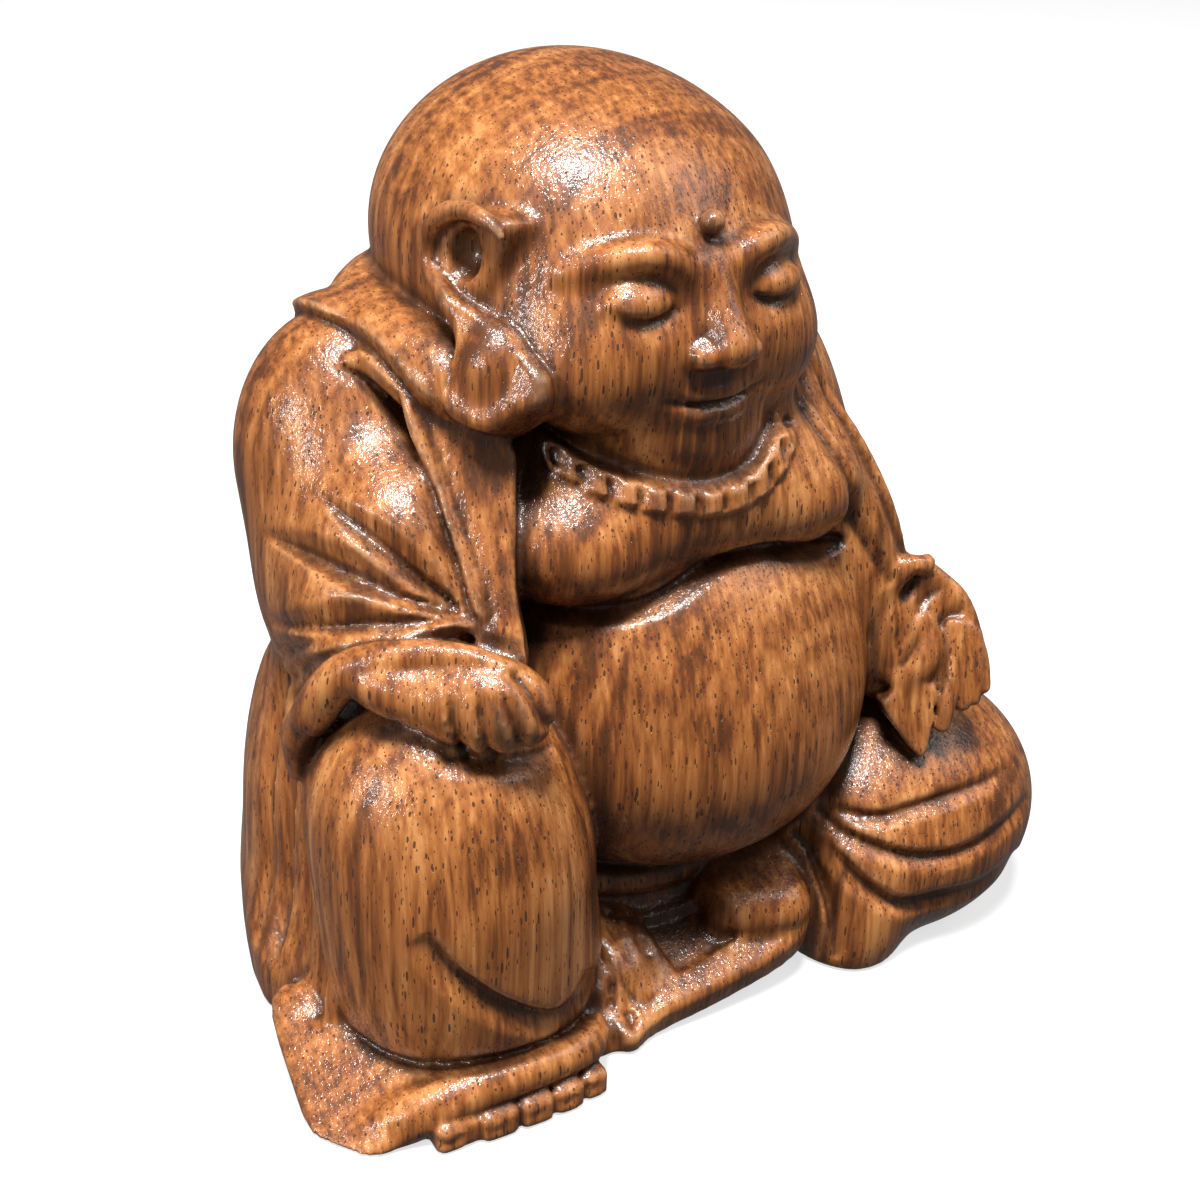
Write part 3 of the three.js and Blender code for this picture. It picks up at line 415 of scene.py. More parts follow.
def belly():
    clay.add(group([ellipsoid([3, -7, 36.5], [26, 22.5, 23]), ellipsoid([3, -13, 31], [21, 18, 16])],
        5), 1)


def chest():
    parts = [
        ellipsoid([1, -7, 62], [21, 15.5, 12]),
        ellipsoid([-10.5, -12.8, 56.8], [12, 11.8, 8]),
        ellipsoid([11.5, -12.5, 58.5], [12.5, 10.8, 7.4]),
        ellipsoid([1, -12, 59.5], [13, 11.3, 8]),
    ]
    clay.add(group(parts, 4), 0.3)


def right_sleeve():
    parts = [
        ellipsoid([-29.5, 3, 61.5], [12.3, 12, 16.3]),
        ellipsoid([-28, -8, 54], [11, 13, 13]),
        ellipsoid([-30.5, -2, 48], [10.5, 14, 13]),
        ellipsoid([-30.5, -15, 48.5], [9.3, 11, 7]),
    ]
    clay.add(group(parts, 5), 0.8)


def right_lapel():
    band = [[-27, -10, 74], [-24, -16, 71.5], [-20, -19.5, 70], [-19.5, -20, 63.5], [-21, -24, 56],
        [-21.5, -28, 49], [-25, -26, 48], [-27.2, -22, 55], [-28, -14, 66]]
    clay.add(plate(band, look=CORNER, back=9, front=-0.3, rounding=0.6), 0.5)


def left_sleeve():
    clay.add(limb([[16, 5, 67, 9], [21.5, 4, 58, 9], [25.5, -1, 47, 8.5], [29, -9, 41, 7.5]]), 3)
    clay.add(limb([[16, -6, 68, 5], [20.5, -9.5, 59, 6.5], [24, -11.5, 51, 7], [27, -13, 44, 6]]), 2.5)
    clay.add(ellipsoid([30.5, -14.5, 38], [6.5, 6.8, 9], [0, 12, 0]), 0.8)
    fan = [[27, -19.5, 35], [27.5, -18.5, 40], [28.5, -18, 43.5], [30, -17.5, 46.5], [32.5, -18, 48],
        [35, -19.5, 46.3], [37.2, -20.5, 44], [38.5, -22, 40.5], [38.5, -23, 37], [38.5, -24, 33.5],
        [35.5, -23.5, 32.5], [32.5, -22, 33]]
    clay.add(plate(fan, look=FAN, back=6, front=0.6, flare=-0.1, rounding=1.3), 0.6)
    clay.add(limb([[28.2, -17.2, 43, 1.2], [28.8, -17.2, 46, 2.1], [29.9, -17.8, 47.4, 2.1],
        [31.6, -18.7, 47.8, 1.5]]), 0.4)


def drape():
    wall = [[-42, -19, 36], [-42, -9, 43], [-42, 4, 40], [-42, 11, 24], [-42, 11, 0], [-42, -20, -2],
        [-42, -22, 12], [-42, -21, 28]]
    clay.add(plate(wall, look=[-90, 5], back=6, front=-1.9, rounding=1.5), 3)


def right_leg():
    parts = [
        ellipsoid([-26.5, -21, 22.5], [15.2, 16, 22]),
        ellipsoid([-29, -19.5, 32.5], [12, 12.6, 12.3]),
        ellipsoid([-25, -22, 11], [14.2, 13.2, 13]),
    ]
    clay.add(group(parts, 5), 0.3)


def left_leg():
    parts = [
        ellipsoid([33.5, -11, 12], [21, 18.5, 17]),
        ellipsoid([25, -15, 8], [9, 14, 16]),
        ellipsoid([23, -20, 3], [6, 9, 9]),
    ]
    clay.add(group(parts, 4), 0.6)


def hem():
    lobe = [[-45.8, -32.5, 0], [-45.2, -24, 0], [-42.8, -13, 0], [-37, -12, 0], [-24, -22, 0],
        [-24, -31, 0], [-33, -35, 0], [-38, -36.3, 0], [-43, -36.2, 0]]
    clay.add(plate(lobe, look=[-50, 58], back=12, front=5.4, rounding=0.9), 0.6)
    clay.add(limb([[-41, -32, -0.2, 1.6], [-36, -34.6, 2.6, 2.6], [-29, -35.4, 4.8, 2.6],
        [-22, -35, 5.2, 2.5], [-16.5, -33.8, 4.9, 2.3], [-14.5, -31.5, 4.6, 2.1]]), 0.9)
    knife(CORNER, 1, 0.8, 1, [[-39.5, -24, 6.5], [-35.5, -31, 6.5], [-30.5, -35, 7.6],
        [-24.7, -35.7, 7.9], [-18, -34.5, 7.4], [-14, -31, 6.8]], reach=6)


def right_toes():
    clay.add(ellipsoid([-22, -30.5, 2], [9, 3.5, 4]), 0.5)
    for x, y, half in [[-33.8, -37, 2.5], [-29.2, -37.2, 2.25], [-24.9, -36.8, 2.05],
            [-21, -36.2, 1.85], [-17.6, -35.3, 1.6]]:
        top = block([x + 1, y - 2.7, 4.6], [half + 0.5, 2.2, 2], 0.2, [34, 0, 8])
        clay.add(without(block([x + 1, y + 3, 0], [half, 4.8, 3.3], 1, [0, 0, 8]), top), 0.15)


def left_foot():
    sole = [[-11, -28, 0], [-9.5, -31.5, 0], [-5.5, -29.5, 0], [4, -27.8, 0], [14, -25, 0],
        [17, -20, 0], [12, -14, 0], [-2, -14, 0], [-8, -21, 0]]
    clay.add(plate(moved(sole, [0, 1.2, 0]), look=ABOVE, back=3, front=3, rounding=0.6), 0.3)
    clay.add(plate(sole, look=[-12, 64], back=-3, front=7.2, flare=0.15, rounding=1), 0.5)
    clay.add(block([10.5, -20, 7.5], [6.8, 6.6, 6.6], 3.4, [18, 0, -12]), 1.2)
    clay.add(ellipsoid([-9, -20, 3], [9, 9, 8]), 1.5)
    clay.add(ellipsoid([-14, -25.5, 0], [8.5, 6, 5]), 1)
    clay.add(ellipsoid([3, -20, 4], [11, 5.5, 4]), 1)
    clay.add(ellipsoid([0, -24.2, 2], [5, 2.4, 3]), 0.5)
    clay.add(limb([[-12, -17, 15, 1.8], [-4, -18, 13.2, 1.9], [4, -18, 13.5, 1.8], [10, -17, 16, 1.4]]),
        0.6)
    sunk = [[-4, -21, 9], [4, -21.5, 11], [7, -26.5, 8], [-2, -28, 6.2]]
    clay.relief(sunk, look=[-12, 60], height=-0.9, edge=0.5, reach=6, per_span=1)


def right_hand():
    parts = [
        ellipsoid([-32.5, -24.3, 47.6], [7.2, 4.4, 3.6], [0, 8, -40]),
        ellipsoid([-26, -29.4, 46.6], [6.8, 4.6, 5.2], [0, 5, -35]),
    ]
    clay.add(without(group(parts, 3), block([-25, -33, 39.6], [9, 4, 3.2], 0.3, [0, 0, -18])), 0.3)
    grooves = [
        [[-30.9, -31.6, 49.4], [-30.4, -31.8, 46], [-29.3, -31.8, 42.5]],
        [[-28.4, -32.8, 49.6], [-27.9, -33, 46], [-27, -33, 42.5]],
        [[-25.9, -33.6, 49.6], [-25, -33.8, 46], [-24, -33.8, 42.5]],
        [[-25, -32, 51.4], [-23.3, -33.6, 49], [-22, -34, 46]],
    ]
    for path in grooves:
        knife(CORNER, 0.8, 1.1, 0.6, path, reach=6, taper="start")
    knife(CORNER, 1, 0.8, 2, [[-31, -29.5, 42], [-27, -30.5, 41.2], [-22.5, -31, 40.8],
        [-19.5, -30, 40.8]], reach=5)


def left_hand():
    pleats = [
        [[28, -20, 38], [29, -19.5, 41.5], [30, -18.8, 45], [31, -18.8, 47.3]],
        [[28, -20.5, 37], [29.5, -20, 40.5], [31.5, -20, 43.5], [34, -20.5, 45.3]],
        [[28.5, -21, 36], [31, -21, 38.5], [33.5, -21.5, 41], [36.3, -22, 42.8]],
    ]
    for path in pleats:
        knife(FAN, 0.8, 1.4, 0.7, path, reach=6)
    tip = [[26.3, -21, 32], [28, -21.8, 28.8], [30.5, -24.3, 25.3], [31.5, -24.3, 28],
        [32.2, -23.5, 31.5], [32.5, -23, 34], [29, -22, 34]]
    clay.add(plate(tip, look=FAN, back=4, front=0.6, rounding=0.5, per_span=2), 0.3)
    fingers = [
        [[34.6, -21.2, 40.8, 0.7], [34.5, -22.9, 36, 1], [33.6, -23.9, 32, 1.1], [33.1, -24.2, 29.2, 1]],
        [[35.7, -21.8, 40.8, 0.7], [35.8, -23.4, 36, 0.85], [35.5, -24.4, 31.6, 0.9]],
        [[36.7, -22.2, 40.3, 0.7], [36.9, -23.7, 36, 0.8], [36.8, -24.7, 32.2, 0.8]],
        [[37.5, -22.5, 39.8, 0.7], [37.9, -23.9, 36.5, 0.8], [37.9, -24.8, 33.6, 0.8]],
    ]
    for path in fingers:
        clay.add(limb(path), 0.3)
    lip = [[28.4, -20.2, 34.4, 1.3], [29.6, -20.7, 34.4, 1.7], [31, -21.1, 36, 1.9],
        [32, -20.9, 38.4, 1.6], [32.3, -20.3, 41, 0.9]]
    clay.add(limb(lip), 0.9)


def skull():
    parts = [head_mass([0, 1, 85], [21.5, 21, 16.5]), head_mass([0, -3.5, 78], [20, 20, 12.5]),
        head_mass([0, 8, 84], [19.5, 16, 17])]
    clay.add(group(parts, 6), 0.4)


def ear(side, back):
    lobe = [[22.6, -3.2, 83], [21.9, -4.8, 82.5], [20.8, -7.6, 81.5], [19.4, -10.9, 80],
        [18.5, -14.6, 77.5], [18.2, -15.6, 76.5], [18.8, -16, 74.5], [20.5, -14.2, 73],
        [22.6, -11.8, 71], [24.4, -7.4, 72], [23.8, -7, 75.5], [22.6, -6.2, 78.5], [22.8, -4.2, 81]]
    across = HEAD_TURN + 60 * side
    clay.add(plate(on_ear(lobe, side, back), look=[across, 20],
        back=6, front=0.8, flare=0.1, rounding=1.1), 0.3)
    clay.add(ellipsoid(on_ear([[19.8, -9, 75.8]], side, back)[0], [3.8, 3.9, 4.8], [0, 0, across]), 0.8)
    shell = [[19.5, -9.5, 90], [19.5, -7, 90.8], [20, -3.3, 90.3], [20.7, -0.3, 89.3], [21, 0.8, 87],
        [21, 0, 84.5], [21, -2, 82], [20, -5.5, 82.5], [19.7, -8, 86]]
    clay.add(plate(on_ear(shell, side, back), look=[HEAD_TURN + 78 * side, 5],
        back=4, front=-0.3, rounding=0.7), 1.2)
    rim = [[19.3, -9, 89, 0.4], [19.8, -7.2, 90.2, 0.8], [20.3, -3.9, 90.6, 1], [21, -1.4, 89.8, 1.1],
        [21.4, 0.5, 88, 1.1], [21.4, 1.2, 85.5, 1.1], [21.6, 0.2, 83.8, 1], [22, -2.2, 82.8, 1],
        [22.3, -4.4, 81.6, 1]]
    clay.add(limb(on_ear(rim, side, back)), 0.4)
    clay.cut(ellipsoid(on_ear([[21.2, -3.9, 86.2]], side, back)[0], [2.2, 3.4, 2.8],
        [14, 0, HEAD_TURN + 78 * side]), 0.5)


def face():
    for s in [-1, 1]:
        clay.add(head_mass([s * 9.5, -15.5, 75.5], [7.5, 6.5, 6.5]), 5)
    clay.add(head_mass([0, -18.3, 68.8], [7, 4.8, 3.8]), 4)
    clay.add(head_mass([0, -16.6, 73.2], [8.5, 6, 5]), 3)
    for s in [-1, 1]:
        clay.cut(head_mass([s * 8, -25, 83.3], [4.8, 3.4, 2.7]), 2.5)
        clay.add(head_mass([s * 8, -19.6, 82.8], [4.3, 2.9, 2.4]), 0.5)
        clay.add(limb(on_head([[s * 2.2, -20.9, 85.6, 1], [s * 7.8, -20.6, 87.6, 1.4],
            [s * 14, -16, 85.6, 0.6]])), 2.2)
    clay.add(limb(on_head([[0, -20.6, 86, 1.4], [0, -23.2, 82, 1.7], [0, -25.2, 78.7, 2.2]])), 2)
    for s in [-1, 1]:
        clay.add(head_mass([s * 2.6, -23.6, 77.8], [1.8, 2, 1.4]), 0.9)
    for z, r, y in [[73.4, 1, -22.9], [71.5, 1.2, -22.7]]:
        clay.add(limb(on_head([[-5.8, y + 1.6, 72.9, 0.4], [-2.6, y + 0.3, z, r], [0, y, z - 0.1, r],
            [2.6, y + 0.3, z, r], [5.8, y + 1.6, 72.9, 0.4]])), 0.6)
    knife(FACING, 0.7, 0.6, 0.6, on_head([[-6.6, -20.8, 73.4], [-3, -23, 72.6], [0, -23.6, 72.4],
        [3, -23, 72.6], [6.6, -20.8, 73.4]]))
    clay.add(head_mass([0, -20.6, 90], [1.3, 1.3, 1.3]), 0.4)
    for s in [-1, 1]:
        knife(FACING, 0.5, 0.5, 0.5, on_head([[s * 4.2, -22, 82.7], [s * 6, -22.4, 81.9],
            [s * 8, -22.4, 81.6], [s * 10.2, -21.6, 81.9], [s * 12, -20.2, 82.9]]))


def mantle():
    leaf = [[-25, -15.5, 71.8], [-27, -13, 72.3], [-28, -9.5, 74], [-30, -3.5, 76.3], [-33, 3.5, 76.5],
        [-32, 11, 73.5], [-27, 20, 70], [-16, 18, 80], [-21, 4, 84], [-22, -6, 83], [-22, -11.5, 78.5],
        [-23.4, -14.5, 74]]
    clay.relief(leaf, look=[-48, 48], height=1.6, edge=0.6, reach=10)


def sleeve_rim():
    left = [[-32.2, -4, 74], [-30.6, -8.2, 72.6], [-29, -11.8, 70], [-27.2, -15.6, 65],
        [-26.3, -19.5, 59.2], [-25.8, -23.3, 53.4]]
    right = [[-30.2, -4.5, 75.8], [-28.6, -8.6, 74.4], [-27, -12, 71.8], [-25.2, -16.1, 65],
        [-24.3, -20, 59.2], [-23.8, -23.8, 53.4]]
    knife(NEAR, 1, 3, 1.1, left, reach=8, taper="start")
    clay.relief(band_between(left, right), look=NEAR, height=0.9, edge=0.6, reach=8, per_span=3)


def sleeve_cuts():
    meet = [-25.8, -22.6, 53]
    cuts = [
        [2.8, [[-36.5, -9, 62.5], [-34, -13.5, 60.5], [-31, -17, 58], [-28, -20, 55], meet]],
        [3.3, [[-42, -3.5, 56.5], [-38, -10, 56.3], [-33.5, -16.5, 55.2], [-28.5, -21, 53.8], meet]],
        [3.1, [[-42.5, -4, 46.5], [-38, -14, 50], [-34, -19.5, 52.2], [-29, -21.8, 52.7], meet]],
    ]
    for wide, path in cuts:
        knife(NEAR, 2.1, wide, 1.2, path, reach=10, lens=True)


def cuff_folds():
    folds = [
        [[-43, -5, 42], [-41, -9, 45], [-38, -17, 50], [-33, -21.5, 52], [-28.5, -22.3, 52]],
        [[-43, -6, 39.5], [-40.5, -10, 43], [-38.5, -17.5, 48.5], [-34.5, -21.7, 51.5],
            [-29.5, -23.5, 51.5], [-26.5, -25.2, 51.3]],
        [[-42, -7, 37], [-39.5, -12.5, 42.5], [-37.8, -20, 49], [-33.5, -23.2, 51.5], [-28, -25.2, 51.8],
            [-23.5, -29, 51]],
    ]
    for path in folds:
        knife(NEAR, 1, 1.5, 1, path, reach=8)


def cuff():
    clay.add(limb([[-41, -14, 34, 1.4], [-41, -15.5, 38.5, 2], [-40, -18, 43, 2.3],
        [-38.2, -20.5, 47.3, 2.3], [-35.5, -23.3, 50, 2], [-31.5, -25.8, 51.3, 1.6],
        [-27.5, -28.7, 51.6, 1.3], [-24.5, -31, 50.8, 1.1]]), 0.3)


def drape_folds():
    for top, foot in [[-3, -4], [-8, -9], [-13, -14.5], [-18, -20]]:
        knife(SIDE, 1.5, 1, 2.4, [[-40.5, top, 41], [-42, top, 30], [-43, foot, 18],
            [-44, foot - 1, 6]])


def knee_folds():
    knife(CORNER, 1.8, 0.8, 3, [[-34.5, -34.5, 25], [-32, -36, 21], [-26.5, -36.5, 15.5],
        [-20, -35.5, 11.5], [-14.5, -31, 13]])


def left_leg_folds():
    knife(CORNER, 1.2, 0.9, 1.8, [[18, -22.5, 21], [20.5, -25, 20.5], [24, -26.5, 20], [28, -27, 20.5],
        [35, -26.5, 21], [45, -23.5, 20.5]])
    knife(CORNER, 1.4, 0.9, 2, [[18, -22.5, 20.5], [20, -26, 18.5], [24.5, -28.5, 16.5],
        [29.5, -29.5, 15], [36.5, -29.5, 15], [48, -24, 16]])
    knife(CORNER, 1.4, 0.9, 2, [[18, -24.5, 17.5], [20, -27.5, 14.5], [22.5, -29, 12], [26.5, -30, 9.5],
        [32.5, -30, 9], [39, -29, 8.5], [47, -25, 9]])
    knife(CORNER, 1.2, 2.4, 0.8, [[15.5, -21.5, 17], [17, -24, 15], [18.5, -27, 8.5], [19, -28, 2]])


def breast_crease():
    under = [[-15.9, -15.7, 49.7], [-12.5, -18.8, 49.7], [-8.4, -20.9, 50.2], [-4.6, -22, 51.2],
        [-0.5, -21.6, 52.8], [4, -21.1, 54.4], [8.4, -22, 54.9], [12.1, -21, 53.9], [16.7, -18.3, 52.3],
        [20.5, -17.5, 52.1]]
    knife(FRONT, 1.3, 0.9, 1.5, under, taper="none")


def necklace():
    band = [[-15.5, -15, 72], [-13.5, -14.5, 68.3], [-11.5, -17, 66.6], [-8, -20, 65],
        [-3.4, -22, 63.7], [0.9, -22.3, 63.2], [5.1, -21.7, 64], [9.6, -18.9, 67.2], [13, -17, 66.5],
        [10.5, -21.6, 63.8], [5.9, -23.3, 61], [1, -23.5, 60.2], [-3.8, -23.2, 60.9],
        [-7.5, -22.4, 61.8], [-11, -20.9, 63], [-13.5, -18.4, 64.3], [-15.8, -15.3, 65.8],
        [-17.5, -14, 71]]
    clay.relief(band, look=FRONT, height=0.9, edge=0.6, reach=9, per_span=3)
    above = [[-15, -16, 69.6], [-12.5, -18.5, 67.6], [-8.5, -21, 65.9], [-3.5, -22.5, 64.6],
        [1, -22.5, 64], [5.5, -22, 64.9], [9.5, -19, 68]]
    knife(FRONT, 1, 3, 0.8, above, taper="none", reach=9)


def left_lapel_folds():
    knife([15, 10], 1.1, 1.1, 2.4, [[13.5, -12, 72], [18.5, -17, 62], [24, -19, 52], [27.5, -19, 46]])
    knife([20, 10], 1.1, 1.1, 2.4, [[17, -8, 74], [23, -10, 62], [28.5, -13, 50], [31, -14, 46]])


# Finer cuts than the solid has

def necklace_notches():
    """Small wedge cuts that part the necklace's band into blocks."""
    low = curve([[-15.5, -16.5, 66], [-13.5, -19, 64.3], [-11, -21, 62.8], [-7, -22.6, 61.5],
        [-3, -23.3, 60.6], [1.5, -23.3, 60.2], [6, -22.7, 61], [9.5, -22, 63.6], [12.5, -18.5, 66]], 8)
    run = np.r_[0, np.cumsum(np.linalg.norm(np.diff(low, axis=0), axis=1))]
    for s in np.arange(2.2, run[-1] - 0.5, 3.1):
        foot = np.array([np.interp(s, run, low[:, k]) for k in range(3)])
        lean = np.array([0.1, 0.6, 2.9])
        knife(FRONT, 0.9, 0.6, 1.3, [foot + lean * 0.12, foot + lean * 0.5, foot + lean * 0.95],
            reach=4)


def rough_patch():
    """Short chisel cuts that were left rough between the two feet."""
    rng = np.random.default_rng(7)
    for _ in range(26):
        x, y = rng.uniform(-12, -4), rng.uniform(-31, -20)
        z = 8.5 + 0.45 * (y + 20)
        slant = rng.uniform(-1.6, 1.6)
        knife([-10, 55], 0.45, 0.6, 1.1, [[x - slant * 0.4, y - 1.3, z - 0.6], [x, y, z],
            [x + slant * 0.4, y + 1.3, z + 0.6]], reach=5)


def toe_nails():
    for x, y, half in [[-34.3, -37.6, 2.7], [-29.2, -37.4, 2.3], [-24.8, -36.8, 2.05],
            [-20.8, -36.2, 1.9], [-17.4, -35.2, 1.6]]:
        knife([0, 20], 0.3, 0.6, 0.6, [[x + 1 - half * 0.5, y - 1.6, 2.2], [x + 1, y - 1.8, 1.3],
            [x + 1 + half * 0.5, y - 1.6, 2.2]], reach=4)


def back_folds():
    """Long shallow folds that fall from the shoulders down the plain back."""
    for top, foot, high, low, depth in [[-15, -27, 58, 7, 1.7], [-9, -15, 50, 12, 1.3],
            [-2, -4, 57, 6, 1.6], [6, 10, 46, 10, 1.3], [12, 22, 55, 7, 1.7]]:
        fall = []
        for share in (0, 0.35, 0.7, 1):
            x = top + (foot - top) * share ** 1.4
            fall.append([x, 31 - 0.0045 * x * x, high + (low - high) * share])
        knife(BEHIND, depth, 1.2, 3.4, fall, reach=9)


def underside():
    """Cuts the block off level where it stands."""
    clay.step([[-60, -50, -5], [70, 40, 0.5]], 0, lambda d, p: np.maximum(d, -p[:, 2]))


def carve():
    """The masses first, then the knife work on the dress, then the hands and the head."""
    for work in (robe_body, collar, belly, chest, right_lapel, right_sleeve, left_sleeve, drape,
            right_leg, left_leg, hem, right_toes, left_foot, mantle, sleeve_rim, sleeve_cuts,
            cuff_folds, cuff, drape_folds, knee_folds, left_leg_folds, breast_crease, necklace,
            necklace_notches, left_lapel_folds, rough_patch, toe_nails, back_folds, right_hand,
            left_hand, skull):
        work()
    face()
    ear(-1, -4)
    ear(1, 3)
    underside()


# From the field to a mesh

def fill_cube(values, corner, cells, steps):
    """Works out the field in one cube of the grid, part by part where the surface may pass through it."""
    low = LOW + corner * CELL
    span = cells * CELL
    near = touching(steps, low, low + span)
    middle = field(near, (low + span / 2)[None])[0]
    here = tuple(slice(c, c + cells) for c in corner)
    surface_can_reach = 1.4 * span + 1
    if abs(middle) > surface_can_reach:
        values[here] = middle
    elif cells > SMALL_CUBE:
        half = cells // 2
        for part in np.ndindex(2, 2, 2):
            fill_cube(values, corner + np.array(part) * half, half, near)
    else:
        offsets = np.indices((cells,) * 3).reshape(3, -1).T * CELL
        values[here] = field(near, low + offsets).reshape((cells,) * 3)


def sampled_field():
    """The field on a grid of points that covers the figure."""
    counts = np.ceil((HIGH - LOW) / (CELL * LARGE_CUBE)).astype(int)
    values = np.full(counts * LARGE_CUBE, FAR, np.float32)
    for index in np.ndindex(*counts):
        fill_cube(values, np.array(index) * LARGE_CUBE, LARGE_CUBE, clay.steps)
    return values


def surface_of(values):
    """Points and four-sided faces of the surface where the field is zero."""
    inside = values < 0
    size = np.array(values.shape) - 1
    corners = np.array(list(np.ndindex(2, 2, 2)))
    total = np.zeros(size, np.int8)
    for i, j, k in corners:
        total += inside[i:i + size[0], j:j + size[1], k:k + size[2]]
    cells = np.argwhere((total > 0) & (total < 8))
    ids = np.full(size, -1, np.int32)
    ids[tuple(cells.T)] = np.arange(len(cells))
    sums = np.zeros((len(cells), 3))
    hits = np.zeros((len(cells), 1))
    for a in corners:
        for axis in np.flatnonzero(a == 0):
            step = np.eye(3, dtype=int)[axis]
            va, vb = values[tuple((cells + a).T)], values[tuple((cells + a + step).T)]
            crosses = (va < 0) != (vb < 0)
            share = np.where(crosses, va / np.where(crosses, va - vb, 1), 0)
            sums += crosses[:, None] * (a + share[:, None] * step)
            hits += crosses[:, None]
    points = LOW + (cells + sums / hits) * CELL
    faces = []
    for axis in range(3):
        u, v = np.eye(3, dtype=int)[(axis + 1) % 3], np.eye(3, dtype=int)[(axis + 2) % 3]
        lower = np.take(inside, np.arange(size[axis]), axis)
        upper = np.take(inside, np.arange(1, size[axis] + 1), axis)
        edges = np.argwhere(lower != upper)
        edges = edges[((edges - u - v) >= 0).all(1) & (edges < size).all(1)]
        ring = np.stack([ids[tuple((edges - shift).T)] for shift in (u + v, v, 0 * u, u)], 1)
        outward = lower[tuple(edges.T)]
        faces.append(np.where(outward[:, None], ring, ring[:, ::-1]))
    return points, np.concatenate(faces)


def relaxed(points, faces):
    """Evens out the steps that the grid leaves: every point moves towards its neighbours and then a
    little further away from them again, so that no shape shrinks."""
    ends = np.concatenate([np.stack([faces[:, k], faces[:, (k + 1) % 4]], 1) for k in range(4)])
    count = np.bincount(ends[:, 0], minlength=len(points))[:, None]
    for share in EVENING:
        sums = [np.bincount(ends[:, 0], points[ends[:, 1], k], len(points)) for k in range(3)]
        points = points + share * (np.stack(sums, 1) / count - points)
    return points


def at_points(p):
    """The field at scattered points, taken cube by cube so that only the steps nearby are worked out."""
    span = 5.0
    key = np.floor((p - LOW) / span).astype(np.int64)
    wide = 4096
    line = (key[:, 0] * wide + key[:, 1]) * wide + key[:, 2]
    order = np.argsort(line, kind="stable")
    starts = np.flatnonzero(np.r_[True, np.diff(line[order]) != 0])
    out = np.empty(len(p))
    for rows in np.split(order, starts[1:]):
        low = LOW + key[rows[0]] * span
        out[rows] = field(touching(clay.steps, low, low + span), p[rows])
    return out


def shade_and_wear_of(p, normal):
    """How deep in creases and how exposed each point of the surface is, 0 to 1: painted shade with stain,
    and wear.
    """
    across = np.cross(normal, [0.36, 0.48, 0.8])
    across /= np.maximum(np.linalg.norm(across, axis=1, keepdims=True), 1e-6)
    along = np.cross(normal, across)
    ways = [s * way for s in (0.7, 2.0) for way in (across, -across, along, -along)] + [3.2 * normal]
    found = at_points(np.concatenate([p + way for way in ways])).reshape(len(ways), -1)
    bend = [np.clip(found[0:4].mean(0) / 0.7, -1, 1), np.clip(found[4:8].mean(0) / 2.0, -1, 1)]
    open_air = np.clip(found[8] / 3.2, 0, 1)
    # Painted shade, with stain gathered in the same places: concave bends and little open room above the
    # surface
    stain_and_shade = np.clip(1.5 * np.maximum(-bend[0],
        0) + 1.1 * np.maximum(-bend[1] - 0.06, 0) + 0.75 * (1 - open_air), 0, 1)
    exposed = np.clip(2.4 * np.maximum(bend[0] - 0.08, 0) + 0.9 * np.maximum(bend[1] - 0.2, 0), 0, 1)
    # The rough wood between the feet is darkened too, with stain and painted shade of the recess, and not
    # rubbed
    feet_stain_and_shade = np.exp(-(((p - FEET) / FEET_REACH) ** 2).sum(1))
    return np.maximum(stain_and_shade, 0.75 * feet_stain_and_shade), exposed * (1 - feet_stain_and_shade)


def object_from(name, points, faces):
    mesh = bpy.data.meshes.new(name)
    mesh.from_pydata(points.tolist(), [], faces.tolist())
    mesh.update()
    thing = bpy.data.objects.new(name, mesh)
    bpy.context.scene.collection.objects.link(thing)
    return thing


def plain_mesh(thing):
    """Turns what the modifiers make into the object's own mesh."""
    graph = bpy.context.evaluated_depsgraph_get()
    mesh = bpy.data.meshes.new_from_object(thing.evaluated_get(graph))
    thing.modifiers.clear()
    thing.data = mesh


def figure_piece():
    """The carving as one fine mesh, in metres, where the solid stands, and the way from the figure's
    units to metres."""
    points, faces = surface_of(sampled_field())
    piece = object_from("budai_carving", relaxed(points, faces), faces)
    fewer = piece.modifiers.new("fewer", "DECIMATE")
    fewer.ratio = min(1.0, MOST_TRIANGLES / (2 * len(faces)))
    fewer.use_collapse_triangulate = True
    plain_mesh(piece)
    mesh = piece.data
    count = len(mesh.vertices)
    p = np.empty(count * 3)
    mesh.vertices.foreach_get("co", p)
    p = p.reshape(-1, 3)
    normal = np.empty(count * 3)
    mesh.vertex_normals.foreach_get("vector", normal)
    # The shares of painted shade with stain, and of rubbed wear, go on the mesh's points
    for name, amount in zip(("stain_and_shade", "exposed"), shade_and_wear_of(p, normal.reshape(-1, 3))):
        layer = mesh.attributes.new(name, "FLOAT", "POINT")
        layer.data.foreach_set("value", amount.astype(np.float32))
    low, high = [np.array(corner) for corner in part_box("figure")]
    unit = (high[2] - low[2]) / p[:, 2].max()
    shift = (low[:2] + high[:2]) / 2 - unit * (p[:, :2].min(0) + p[:, :2].max(0)) / 2
    to_metres = lambda q: np.asarray(q, float) * unit + np.array([shift[0], shift[1], 0.0])
    mesh.vertices.foreach_set("co", to_metres(p).ravel())
    mesh.polygons.foreach_set("use_smooth", [True] * len(mesh.polygons))
    mesh.update()
    return piece, to_metres, unit


# Finish

def new_material(name):
    material = bpy.data.materials.new(name)
    material.use_nodes = True
    nodes = material.node_tree.nodes
    nodes.clear()
    return material, nodes, material.node_tree.links


def put(nodes, links, kind, sockets=None, **settings):
    """A node with its settings and sockets; a socket's value may be another node's output."""
    node = nodes.new(kind)
    for name, value in settings.items():
        setattr(node, name, value)
    for name, value in (sockets or {}).items():
        if isinstance(value, bpy.types.NodeSocket):
            links.new(value, node.inputs[name])
        else:
            node.inputs[name].default_value = value
    return node


